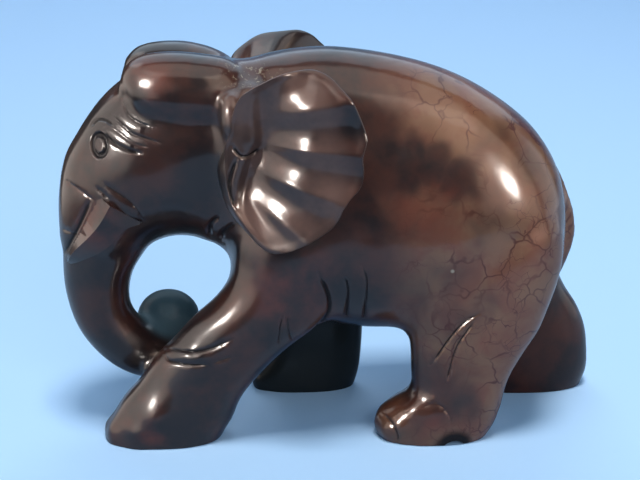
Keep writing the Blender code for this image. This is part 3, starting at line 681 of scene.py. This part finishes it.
def on_eye(spots, side):
    """How far out places on one side are round the eye, where 1 is its edge."""
    return np.linalg.norm((thrown(spots, EYE[0], side) - EYE[1]) / EYE[2], axis=1)


def under_chisel(spots, side, reach):
    """Mark the places near the eye, or within a reach of a line, in line widths."""
    marked = np.zeros(len(spots), bool)
    for (sheet, width, depth, rows), shift in lines_on(side):
        places = thrown(spots, sheet, side) - shift
        close = np.abs(np.abs(spots[:, 1]) + sheet) < SHEET_DEPTH
        marked |= close & (from_line(places, rows, SPLIT_LOOKS * width)[0] < reach * width)
    marked |= on_eye(spots, side) < EYE_REACH
    return marked & (spots[:, 1] * side > CLEAR_OF_MIDDLE)


def refined(thing, reaches):
    """Split faces near the carving once per reach, on the far side only once."""
    for reach in reaches:
        spots = read(thing.data)[0]
        marked = under_chisel(spots, -1, reach)
        if reach == reaches[0]:
            marked |= under_chisel(spots, 1, reach)
        work = bmesh.new()
        work.from_mesh(thing.data)
        work.verts.ensure_lookup_table()
        edges = [e for e in work.edges if marked[e.verts[0].index] and marked[e.verts[1].index]]
        bmesh.ops.subdivide_edges(work, edges=edges, cuts=1, use_grid_fill=True)
        work.to_mesh(thing.data)
        work.free()
        spots, pairs = read(thing.data)
        chosen = under_chisel(spots, -1, reach) | under_chisel(spots, 1, reach)
        evened(spots, pairs, chosen.astype(float)[:, None])
        put(thing.data, spots)
    return thing


def carved(thing):
    """Cut the lines and the eyes, keep how deep as "cut", and raise the swellings."""
    spots = read(thing.data)[0]
    facing = normals(thing.data)
    depth = np.zeros(len(spots))
    for side in (-1, 1):
        here = (spots[:, 1] * side > CLEAR_OF_MIDDLE) & (facing[:, 1] * side > FACES_AWAY)
        for (sheet, width, deep, rows), shift in lines_on(side):
            far, along = from_line(thrown(spots, sheet, side) - shift, rows, LINE_REACH * width)
            ends = np.clip(np.minimum(along, 1 - along) / LINE_END, LINE_END_DEPTH, 1)
            lip = LIP_SHARE * np.exp(-(far / width - LIP_PLACE) ** 2)
            cut = deep * ends * (np.exp(-(far / width) ** 2) - lip)
            close = np.abs(np.abs(spots[:, 1]) + sheet) < SHEET_DEPTH
            depth += np.where(here & close & (far < LINE_REACH * width), cut, 0)
        place, width, deep = EYE_GROOVE
        groove = deep * np.exp(-((on_eye(spots, side) - place) / width) ** EYE_STEEP)
        depth += np.where(here, groove, 0)
    cut_here = thing.data.attributes.new("cut", "FLOAT", "POINT")
    cut_here.data.foreach_set("value", np.maximum(depth, 0).astype(np.float32))
    for middle, reach, height in SWELLS:
        near = np.linalg.norm((spots - middle) / reach, axis=1)
        depth -= height * np.exp(-near ** 2)
    put(thing.data, spots - facing * depth[:, None])
    return thing


def mass():
    """Body, head, trunk and legs run into one another."""
    trunk = joined("front", [body_skin(), level_skin("head", HEAD, HEAD_SQUARE),
                             tube_skin("trunk", TRUNK[:TRUNK_ROWS_FIRST])])
    fused(trunk, CELL)
    union(trunk, [loop_cutter()], "DIFFERENCE")
    rest = [tube_skin("trunk", TRUNK), ball("tip", *TRUNK_TIP)]
    rest += [level_skin("leg", rows) for rows in (FORE_NEAR, FORE_FAR, HIND_NEAR, HIND_FAR)]
    for side in (-1, 1):
        for (x, y, z), radii in NECK_PAD:
            rest.append(ball("pad", (x, side * abs(y), z), radii))
    return [trunk] + rest


def mirrored(rows, side, far_shift=(0, 0)):
    """The rows of the left, or of the right with its shift in x and z."""
    shift = far_shift if side > 0 else (0, 0)
    return [(x + shift[0], side * abs(y), z + shift[1], *rest) for x, y, z, *rest in rows]


def modelled():
    """The whole figure, in steps, standing on z = 0."""
    figure = joined("carving", mass())
    fused(figure, CELL)
    filled(figure, FILL_ROUNDS[0])
    relaxed(figure, SMOOTH_ROUNDS[0])
    extra = [tube_skin("tail", TAIL)]
    for side in (-1, 1):
        extra.append(tube_skin("pillow", mirrored(PILLOW, side, PILLOW_FAR_SHIFT)))
        extra.append(tube_skin("fold", mirrored(EAR_FOLD, side)))
    figure = joined("carving", [figure] + extra)
    fused(figure, DETAIL_CELL)
    filled(figure, FILL_ROUNDS[1])
    relaxed(figure, SMOOTH_ROUNDS[1])
    tusks = [wedge_skin("tusk", [mirrored(row, side) for row in TUSK]) for side in (-1, 1)]
    union(figure, [ear_skin(-1), ear_skin(1)] + tusks)
    flat_below(figure)
    union(figure, [ball("arch", *ARCH)], "DIFFERENCE")
    refined(figure, SPLIT_REACHES)
    carved(figure)
    return figure


def fitted(thing):
    """Bring the skin into the box of the solid, and say how far it was moved, in steps."""
    spots = read(thing.data)[0]
    low, high = spots.min(axis=0), spots.max(axis=0)
    box_low, box_high = (np.array(corner) / STEP for corner in CAD_BOX)
    spots = box_low + (spots - low) * (box_high - box_low) / (high - low)
    put(thing.data, spots)
    return [*((low + high) / 2 - (box_low + box_high) / 2)[:2], 0.0]


def in_metres(place):
    """A place on the grid of steps, in the frame's metres."""
    return (Vector(place) - Vector(MOVED)) * STEP


class Paint:
    """Small helpers that lay out the nodes of a material or of the room."""

    def __init__(self, tree):
        self.tree = tree
        self.place = self.node("TexCoord").outputs["Object"]

    def node(self, kind, **values):
        node = self.tree.nodes.new("ShaderNode" + kind)
        for name, value in values.items():
            node.inputs[name].default_value = value
        return node

    def link(self, value, target):
        """A socket is linked to the target, a plain value is written into it."""
        if isinstance(value, bpy.types.NodeSocket):
            self.tree.links.new(value, target)
        elif isinstance(value, tuple) and len(target.default_value) == 4:
            target.default_value = (*value, 1)
        else:
            target.default_value = value

    def noise(self, scale, detail=3.0, rough=0.55, bend=0.0, output="Fac"):
        """Soft clouds from 0 to 1."""
        node = self.node("TexNoise", Scale=scale, Detail=detail, Roughness=rough, Distortion=bend)
        self.link(self.place, node.inputs["Vector"])
        return node.outputs[output]

    def bent(self, scale, reach):
        """The place, shifted about by a noise."""
        shift = self.node("VectorMath")
        shift.operation = "MULTIPLY_ADD"
        self.link(self.noise(scale, BEND_DETAIL, output="Color"), shift.inputs[0])
        shift.inputs[1].default_value = [reach] * 3
        self.link(self.place, shift.inputs[2])
        centred = self.node("VectorMath")
        centred.operation = "SUBTRACT"
        self.link(shift.outputs[0], centred.inputs[0])
        centred.inputs[1].default_value = [reach / 2] * 3
        return centred.outputs[0]

    def walls(self, scale, place, width):
        """1 on the walls between cells, fading out over a width."""
        node = self.node("TexVoronoi", Scale=scale)
        node.feature = "DISTANCE_TO_EDGE"
        self.link(place, node.inputs["Vector"])
        return self.ramp(node.outputs["Distance"], width, 0.0)

    def axes(self, place):
        """The place as separate numbers, by the name of the axis."""
        node = self.node("SeparateXYZ")
        self.link(place, node.inputs[0])
        return node.outputs

    def math(self, how, a, b=0.0):
        node = self.node("Math")
        node.operation = how
        self.link(a, node.inputs[0])
        self.link(b, node.inputs[1])
        return node.outputs[0]

    def times(self, a, b):
        return self.math("MULTIPLY", a, b)

    def most(self, *values):
        """The largest of the values."""
        largest = values[0]
        for value in values[1:]:
            largest = self.math("MAXIMUM", largest, value)
        return largest

    def ramp(self, value, low, high, start=0.0, end=1.0):
        """A soft step of the value from start to end."""
        node = self.node("MapRange")
        node.interpolation_type = "SMOOTHSTEP"
        numbers = {"From Min": low, "From Max": high, "To Min": start, "To Max": end}
        for name, number in numbers.items():
            node.inputs[name].default_value = number
        self.link(value, node.inputs["Value"])
        return node.outputs[0]

    def mix(self, factor, low, high):
        """One colour at factor 0, the other at 1."""
        node = self.node("Mix")
        node.data_type = "RGBA"
        self.link(factor, node.inputs["Factor"])
        self.link(low, node.inputs["A"])
        self.link(high, node.inputs["B"])
        return node.outputs["Result"]

    def spots(self, place, rows):
        """1 near any of these: a middle, an inner and an outer reach each, in steps."""
        near = []
        for middle, inner, outer in rows:
            far = self.node("VectorMath")
            far.operation = "DISTANCE"
            self.link(place, far.inputs[0])
            far.inputs[1].default_value = tuple(in_metres(middle))
            near.append(self.ramp(far.outputs["Value"], outer * STEP, inner * STEP))
        return self.most(*near)


def painted(name, values):
    """A new material, and its shader with the values set."""
    paint = bpy.data.materials.new(name)
    paint.use_nodes = True
    shader = paint.node_tree.nodes["Principled BSDF"]
    for key, value in values.items():
        shader.inputs[key].default_value = value
    return paint, shader


# Polish: a clear coat over a duller stone
POLISH = {"IOR": 1.28, "Coat IOR": 1.5, "Coat Roughness": 0.13, "Coat Weight": 1.0}

# Colours of the stone, and of the shade, sheen and floor reflection painted on it
GROUND_DARK = (0.012, 0.007, 0.0075)
GROUND_RED = (0.045, 0.014, 0.009)
CELL_RED = (0.14, 0.047, 0.024)
CELL_BROWN = (0.165, 0.074, 0.038)
VEIN = (0.05, 0.008, 0.005)
# Deep red of the stone, also used as a painted warm sheen on the tusk and the dome
DEEP_RED_AND_SHEEN = (0.17, 0.030, 0.014)
# Painted shade: near black with a green tinge, for the far fore leg
FAR_LEG_SHADE_BLACK = (0.009, 0.011, 0.011)
# Dull green of the trunk's knob, partly a painted blue reflection of the floor
DULL_GREEN_AND_FLOOR_REFLECTION = (0.03, 0.062, 0.08)
EAR_BROWN = (0.098, 0.050, 0.038)
CHALK = (0.34, 0.28, 0.2)
# Near black in the chisel lines, darker the deeper they are cut, and painted shade in the arch's
# notch
LINE_DARK_AND_ARCH_SHADE = (0.008, 0.006, 0.007)

# Patches of the stone, some of them painted shade, sheen or reflection as noted: middle, inner and
# outer reach in steps
EAR_PATCH = [((-50, -110, 325), 46, 72), ((-40, -110, 270), 46, 76), ((-80, -105, 235), 26, 56)]
# The knob gets the painted floor reflection tint, and is rougher and less coated
KNOB = [((-157, 40, 92), 36, 50)]
# Dark stone on the flank, with painted shade behind the ear at the first place and on the far hind
# leg at (206, 60, 60)
DARK_STONE_AND_SHADE_PATCHES = [
    ((-10, -75, 300), 20, 50), ((30, -80, 330), 30, 64), ((42, -88, 290), 24, 54),
    ((8, -88, 255), 30, 60), ((72, -88, 284), 14, 46), ((100, -86, 284), 10, 36),
    ((124, -86, 270), 9, 32), ((180, -60, 250), 6, 26), ((206, 60, 60), 80, 130),
    ((110, -75, 50), 10, 70)]
# Red stone, and at the last two places, on the tusk and the dome, a painted warm sheen
RED_STONE_AND_SHEEN_PATCHES = [
    ((-34, -80, 170), 18, 52), ((-172, -78, 22), 8, 30), ((165, -85, 108), 6, 24),
    ((95, -90, 240), 10, 50), ((112, -80, 24), 6, 26), ((-214, -56, 222), 12, 36),
    ((-168, -50, 350), 12, 40)]
# Painted shade on the far fore leg, which also loses coat; the far hind leg loses coat too
FAR_FORE_LEG_SHADE = [((-10, 70, 50), 70, 105)]
FAR_HIND_LEG = [((206, 70, 50), 60, 110)]
LOOP_WALL = [((-92, 0, 165), 22, 55)]
# Painted shade in the scoop under the arch of the left hind foot, which also loses its coat
ARCH_SHADE_SPOT = [((128, -90, -3), 14, 24)]
SPECKS = [
    ((43, -92, 302), 0.7, 2.2), ((37, -92, 276), 0.6, 1.8), ((201, -70, 245), 1.0, 3.6),
    ((191, -75, 231), 1.0, 4.5), ((193, -74, 224), 1.0, 3.5), ((120, -88, 182), 0.8, 2.6)]
CHALK_PATCH = [((-68, -45, 362), 10, 38)]

# Brown stone sets in between these x, and fades between these y from the far to the near side,
# all in metres, from its share on the far side to its share on the near side. The fade towards
# the far side is painted shade.
BROWN_X = (0.001, 0.026)
BROWN_Y_FAR_SHADE = (0.016, -0.004, 0.3, 1.0)

# Noises: scale, detail, roughness and distortion. A step gives the values between which a
# noise goes from none to all, and some give the two ends of what comes out.
MOTTLE = (70, 4, 0.6)
GROUND_STEP = (0.4, 0.66)
EAR_STEP = (0.3, 0.62, 0.35, 1.0)
RED_STEP = (0.3, 0.6)
CELL_NOISE = (110, 3, 0.6, 0.5)
CELL_STEP = (0.36, 0.64)
PATCHY_NOISE = (45, 3, 0.5, 0.3)
PATCHY_STEP = (0.28, 0.52, 0.25, 1.0)
CHALK_NOISE = (700, 4, 0.7, 1.0)
CHALK_STEP = (0.56, 0.66)
WORN_NOISE = (240, 4, 0.6)
WORN_STEP = (0.3, 0.75, 0.3, 0.4)
RIPPLE_NOISE = (95, 3, 0.5)
RIPPLE_STRENGTH = 0.35
RIPPLE_DEPTH = 0.0004

# Bends of the place: detail and scale of the noise, and reach in metres
BEND_DETAIL = 2.0
WIDE_BEND = (26, 0.022)
RAGGED_BEND = (110, 0.009)
VEIN_BEND = (170, 0.006)
HAIR_BEND = (260, 0.005)

# Veins and hair veins: scale of their cells, width, and the noise that picks some of them
VEIN_SCALE = 150
VEIN_WIDTH = 0.05
VEIN_NOISE = (75, 2)
VEIN_STEP = (0.4, 0.62)
HAIR_SCALE = 310
HAIR_WIDTH = 0.03
HAIR_NOISE = (95, 2)
HAIR_STEP = (0.5, 0.62)

# How much of a colour shows, how much of the coat is lost, and how much rougher the knob is.
# The chisel lines are darker where they are cut between these depths, in steps.
RED_SHARE = 0.4
CHALK_SHARE = 0.6
SPECK_SHARE = 0.7
VEIN_SHARE = 0.95
LINE_DARK_DEPTHS = (0.5, 2.0)
KNOB_DULL = 0.75
VEIN_DULL = 0.35
EAR_DULL = 0.4
LINE_DULL = 0.9
FAR_LEG_DULL = 0.75
LOOP_DULL = 0.8
KNOB_ROUGHER = 0.2


def brown_region_and_shade(p, ragged):
    """1 where the stone is brown, towards the rump, and 0 where it is dark or where shade is
    painted.
    """
    parts = p.axes(p.bent(*WIDE_BEND))
    # Less brown towards the far side, as painted shade
    brown = p.times(p.ramp(parts["X"], *BROWN_X), p.ramp(parts["Y"], *BROWN_Y_FAR_SHADE))
    return p.times(brown, p.ramp(p.spots(ragged, DARK_STONE_AND_SHADE_PATCHES), 1.0, 0.0))


def vein_lines(p, brown):
    """Veins and hair veins, each in some regions of the brown stone."""
    wide = p.walls(VEIN_SCALE, p.bent(*VEIN_BEND), VEIN_WIDTH)
    hair = p.walls(HAIR_SCALE, p.bent(*HAIR_BEND), HAIR_WIDTH)
    wide = p.times(wide, p.ramp(p.noise(*VEIN_NOISE), *VEIN_STEP))
    hair = p.times(hair, p.ramp(p.noise(*HAIR_NOISE), *HAIR_STEP))
    return p.times(p.most(wide, hair), p.times(brown, VEIN_SHARE))


def polished_stone():
    """Dark polished stone: brown cells with dark red veins over a nearly black ground."""
    stone, shader = painted("polished_stone_looks", POLISH)
    p = Paint(stone.node_tree)
    ragged = p.bent(*RAGGED_BEND)
    mottle = p.noise(*MOTTLE)
    brown = brown_region_and_shade(p, ragged)

    ear = p.times(p.spots(p.place, EAR_PATCH), p.ramp(mottle, *EAR_STEP))
    red = p.times(p.spots(ragged, RED_STONE_AND_SHEEN_PATCHES), p.ramp(mottle, *RED_STEP))
    chalk = p.times(p.spots(p.place, CHALK_PATCH), p.ramp(p.noise(*CHALK_NOISE), *CHALK_STEP))
    veins = vein_lines(p, brown)
    knob = p.spots(p.place, KNOB)
    arch_shade = p.spots(p.place, ARCH_SHADE_SPOT)
    cut = p.node("Attribute")
    cut.attribute_name = "cut"
    line_dark = p.ramp(cut.outputs["Fac"], *LINE_DARK_DEPTHS)

    ground = p.mix(p.ramp(mottle, *GROUND_STEP), GROUND_DARK, GROUND_RED)
    cells = p.mix(p.ramp(p.noise(*CELL_NOISE), *CELL_STEP), CELL_RED, CELL_BROWN)
    patchy = p.ramp(p.noise(*PATCHY_NOISE), *PATCHY_STEP)
    colour = p.mix(p.times(brown, patchy), ground, cells)
    # Among these tints, the far fore leg's green-black and the dark in the arch's notch are painted
    # shade, the knob's blue-green is partly a painted floor reflection, and some red patches are a
    # painted warm sheen
    for share, tint in (
            (ear, EAR_BROWN), (p.times(red, RED_SHARE), DEEP_RED_AND_SHEEN),
            (p.spots(p.place, FAR_FORE_LEG_SHADE), FAR_LEG_SHADE_BLACK), (p.times(chalk, CHALK_SHARE), CHALK),
            (veins, VEIN), (knob, DULL_GREEN_AND_FLOOR_REFLECTION), (line_dark, LINE_DARK_AND_ARCH_SHADE), (arch_shade, LINE_DARK_AND_ARCH_SHADE),
            (p.times(p.spots(p.place, SPECKS), SPECK_SHARE), CHALK)):
        colour = p.mix(share, colour, tint)
    p.link(colour, shader.inputs["Base Color"])

    worn = p.ramp(p.noise(*WORN_NOISE), *WORN_STEP)
    p.link(p.math("ADD", worn, p.times(knob, KNOB_ROUGHER)), shader.inputs["Roughness"])
    far_legs = p.spots(p.place, FAR_FORE_LEG_SHADE + FAR_HIND_LEG)
    dull = p.most(
        p.times(knob, KNOB_DULL), p.times(veins, VEIN_DULL), p.times(ear, EAR_DULL),
        p.times(line_dark, LINE_DULL), p.times(far_legs, FAR_LEG_DULL), arch_shade,
        p.times(p.spots(p.place, LOOP_WALL), LOOP_DULL))
    p.link(p.ramp(dull, 0.0, 1.0, 1.0, 0.0), shader.inputs["Coat Weight"])
    ripple = p.node("Bump", Strength=RIPPLE_STRENGTH, Distance=RIPPLE_DEPTH)
    p.link(p.noise(*RIPPLE_NOISE), ripple.inputs["Height"])
    p.link(ripple.outputs["Normal"], shader.inputs["Normal"])
    p.link(ripple.outputs["Normal"], shader.inputs["Coat Normal"])
    return stone


figure = modelled()
MOVED = fitted(figure)
figure.name = "carved_elephant"
figure.data.materials.clear()
figure.data.materials.append(polished_stone())
figure.data.shade_smooth()
figure.data.set_sharp_from_angle(angle=math.radians(SHARP_ANGLE))
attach(figure, "root")
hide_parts("elephant")


# Camera: place and target in steps, focal length in pixels of the frame
CAMERA_SPOT = (-62.2, -1187.2, 572.5)
CAMERA_TARGET = (0, 0, 186.2)
FRAME_WIDTH = 640
FOCAL = 1250
SENSOR = 36
CLIP_START = 0.01

# Floor and backdrop, and the part of the floor that the polish mirrors, in metres; the mirrored
# part is a darker copy, as painted shade
FLOOR_BLUE = (0.4, 0.6, 0.84)
MIRRORED_SHADED_BLUE = (0.24, 0.35, 0.47)
PAPER = {"Roughness": 0.9, "Specular IOR Level": 0.1}
TABLE_FRONT = -0.185
TABLE_LEFT = -0.2
ROOM_HALF = 1.3
SWEEP_START = 0.9
SWEEP_RADIUS = 0.35
SWEEP_PARTS = 12
SWEEP_TOP = 1.5

# The room as it lights the figure, is mirrored in the polish, and is seen
ROOM_LIGHT = (0.075, 0.18, 0.27)
ROOM_MIRRORED = (0.05, 0.047, 0.047)
ROOM_SEEN = (0.38, 0.58, 0.78)

# Light colours
AMBER = (1.0, 0.76, 0.6)
PEACH = (1, 0.84, 0.74)
CREAM = (1, 0.88, 0.8)
SOFT_CREAM = (1, 0.88, 0.78)
PALE = (1, 0.93, 0.86)
COOL = (0.95, 0.95, 1.0)
DUSK = (0.97, 0.84, 0.77)
SKY_BLUE = (0.72, 0.87, 1.0)
DAYLIGHT = (1, 0.98, 0.96)
SHADE = (0.92, 0.96, 1.0)

# Upright cards of light: azimuths, levels, distance, radiance, colour, fade of the edges as a
# share of the half width and of the half height
WALL_CARDS = {
    "right_card": ((10, 72), (-0.04, 0.9), 0.5, 1.75, AMBER, (0.35, 0.25)),
    "right_glow": ((24, 54), (0.02, 0.42), 0.49, 6, PEACH, (1, 1)),
    "left_card": ((-88, -27), (-0.12, 0.9), 0.5, 1.55, CREAM, (0.14, 0.2)),
    "far_left_card": ((-128, -84), (-0.12, 0.9), 0.5, 1.3, CREAM, (0.2, 0.2)),
    "left_glow": ((-64, -27), (0.04, 0.54), 0.49, 5, SOFT_CREAM, (1, 1))}


def pointed(thing, spot, target):
    """Set a thing down so that it looks at the target."""
    thing.location = spot
    thing.rotation_euler = (Vector(target) - Vector(spot)).to_track_quat("-Z", "Y").to_euler()


def compass(azimuth, elevation, distance, middle=(0, 0, 0.05)):
    """A spot seen from the figure at an azimuth from -Y towards +X, and an elevation."""
    a, e = math.radians(azimuth), math.radians(elevation)
    way = Vector((math.sin(a) * math.cos(e), -math.cos(a) * math.cos(e), math.sin(e)))
    return Vector(middle) + distance * way


# The other cards: spot, target, width and height, radiance, colour, fade
CARDS = {
    "edge_card": (compass(95, 5, 0.5), (0, 0, 0.06), (0.5, 0.7), 0.9, COOL, (0.5, 0.5)),
    "top_card": ((-0.05, -0.3, 0.98), (-0.05, 0, 0), (1.3, 0.8), 1.35, DUSK, (0.2, 0.14)),
    "back_card": ((0, 0.65, 0.95), (0, 0, 0.1), (2.4, 1.1), 1.25, SKY_BLUE, (0.2, 0.12)),
    "left_lamp": (compass(-46, 23, 0.6), (0, 0, 0.05), (0.22, 0.26), 110, PALE, (1, 1)),
    "right_lamp": (compass(39, 15, 0.6), (0, 0, 0.05), (0.16, 0.26), 60, PALE, (1, 1))}

# Lights that the polish doesn't mirror: spot, target, width and height, power, colour
PANELS = {
    "sky": ((0.02, -0.2, 1.1), (0, 0, 0), (0.25, 0.25), 10, DAYLIGHT),
    "fill": ((0.25, -1.0, 0.55), (0, 0, 0.06), (0.8, 0.5), 5.2, SHADE),
    "rear_sky": ((0, 0.95, 1.1), (0, 0.7, 0), (0.8, 0.8), 6.5, DAYLIGHT)}


def camera():
    """The photograph's camera."""
    eye = bpy.data.cameras.new("camera")
    eye.sensor_width = SENSOR
    eye.lens = SENSOR * FOCAL / FRAME_WIDTH
    eye.clip_start = CLIP_START
    thing = placed("camera", eye)
    pointed(thing, in_metres(CAMERA_SPOT), in_metres(CAMERA_TARGET))
    bpy.context.scene.camera = thing


def soft_light(radiance, colour, soft):
    """A glow that fades towards the edges of its card."""
    paint, shader = painted("soft_light", {})
    paint.node_tree.nodes.remove(shader)
    p = Paint(paint.node_tree)
    parts = p.axes(p.place)
    across = p.ramp(p.math("ABSOLUTE", parts["X"]), 1.0, 1.0 - soft[0], 0.0, radiance)
    upward = p.ramp(p.math("ABSOLUTE", parts["Y"]), 1.0, 1.0 - soft[1])
    glow = p.node("Emission")
    p.link(colour, glow.inputs["Color"])
    p.link(p.times(across, upward), glow.inputs["Strength"])
    through = p.node("AddShader")
    p.link(glow.outputs[0], through.inputs[0])
    p.link(p.node("BsdfTransparent").outputs[0], through.inputs[1])
    p.link(through.outputs[0], paint.node_tree.nodes["Material Output"].inputs["Surface"])
    return paint


def card(name, spot, target, size, radiance, colour, soft):
    """A soft card of light that is seen in the polish only."""
    mesh = bpy.data.meshes.new(name)
    mesh.from_pydata([(-1, -1, 0), (1, -1, 0), (1, 1, 0), (-1, 1, 0)], [], [(0, 1, 2, 3)])
    mesh.materials.append(soft_light(radiance, colour, soft))
    thing = placed(name, mesh)
    pointed(thing, spot, target)
    thing.scale = (size[0] / 2, size[1] / 2, 1)
    thing.visible_camera = False
    thing.visible_diffuse = False
    thing.visible_shadow = False


def wall_card(name, azimuths, levels, distance, *glow):
    """An upright card between two azimuths."""
    half = math.radians((azimuths[1] - azimuths[0]) / 2)
    middle = (0, 0, (levels[0] + levels[1]) / 2)
    spot = compass(sum(azimuths) / 2, 0, distance, middle)
    size = (2 * distance * math.tan(half), levels[1] - levels[0])
    card(name, spot, middle, size, *glow)


def panel(name, spot, target, size, power, colour):
    """A rectangular light that isn't mirrored."""
    lamp = bpy.data.lights.new(name, "AREA")
    lamp.shape = "RECTANGLE"
    lamp.size, lamp.size_y = size
    lamp.energy = power
    lamp.color = colour
    thing = placed(name, lamp)
    pointed(thing, spot, target)
    thing.visible_camera = False
    thing.visible_glossy = False


def lights():
    """All cards and panels."""
    for name, row in WALL_CARDS.items():
        wall_card(name, *row)
    for name, row in CARDS.items():
        card(name, *row)
    for name, row in PANELS.items():
        panel(name, *row)


def world():
    """A dim blue room, darker where it is mirrored, and bright behind the backdrop."""
    room = bpy.data.worlds.new("room")
    bpy.context.scene.world = room
    room.use_nodes = True
    p = Paint(room.node_tree)
    path = p.node("LightPath")
    unseen = p.mix(path.outputs["Is Glossy Ray"], ROOM_LIGHT, ROOM_MIRRORED)
    seen = p.mix(path.outputs["Is Camera Ray"], unseen, ROOM_SEEN)
    p.link(seen, room.node_tree.nodes["Background"].inputs["Color"])


def sheet_of_paper(name, front, left, blue):
    """A floor that sweeps up behind the figure."""
    profile = [(front, 0), (SWEEP_START, 0)]
    for k in range(1, SWEEP_PARTS + 1):
        a = math.pi / 2 * k / SWEEP_PARTS
        profile.append((SWEEP_START + SWEEP_RADIUS * math.sin(a),
                        SWEEP_RADIUS * (1 - math.cos(a))))
    profile.append((SWEEP_START + SWEEP_RADIUS, SWEEP_TOP))
    points, faces = [], []
    for y, z in profile:
        points += [(left, y, z), (ROOM_HALF, y, z)]
    for k in range(len(profile) - 1):
        faces.append((2 * k, 2 * k + 1, 2 * k + 3, 2 * k + 2))
    mesh = bpy.data.meshes.new(name)
    mesh.from_pydata(points, [], faces)
    mesh.shade_smooth()
    mesh.materials.append(painted("pale_paper", {**PAPER, "Base Color": (*blue, 1.0)})[0])
    thing = placed(name, mesh)
    thing.visible_shadow = False
    return thing


def stage():
    """The floor that the camera sees, and the smaller, darker one that the polish mirrors as
    painted shade.
    """
    seen = sheet_of_paper("floor", -ROOM_HALF, -ROOM_HALF, FLOOR_BLUE)
    seen.visible_glossy = False
    table = sheet_of_paper("table", TABLE_FRONT, TABLE_LEFT, MIRRORED_SHADED_BLUE)
    table.visible_camera = False
    table.visible_diffuse = False


camera()
lights()
world()
stage()
bpy.context.scene.view_settings.view_transform = "Standard"
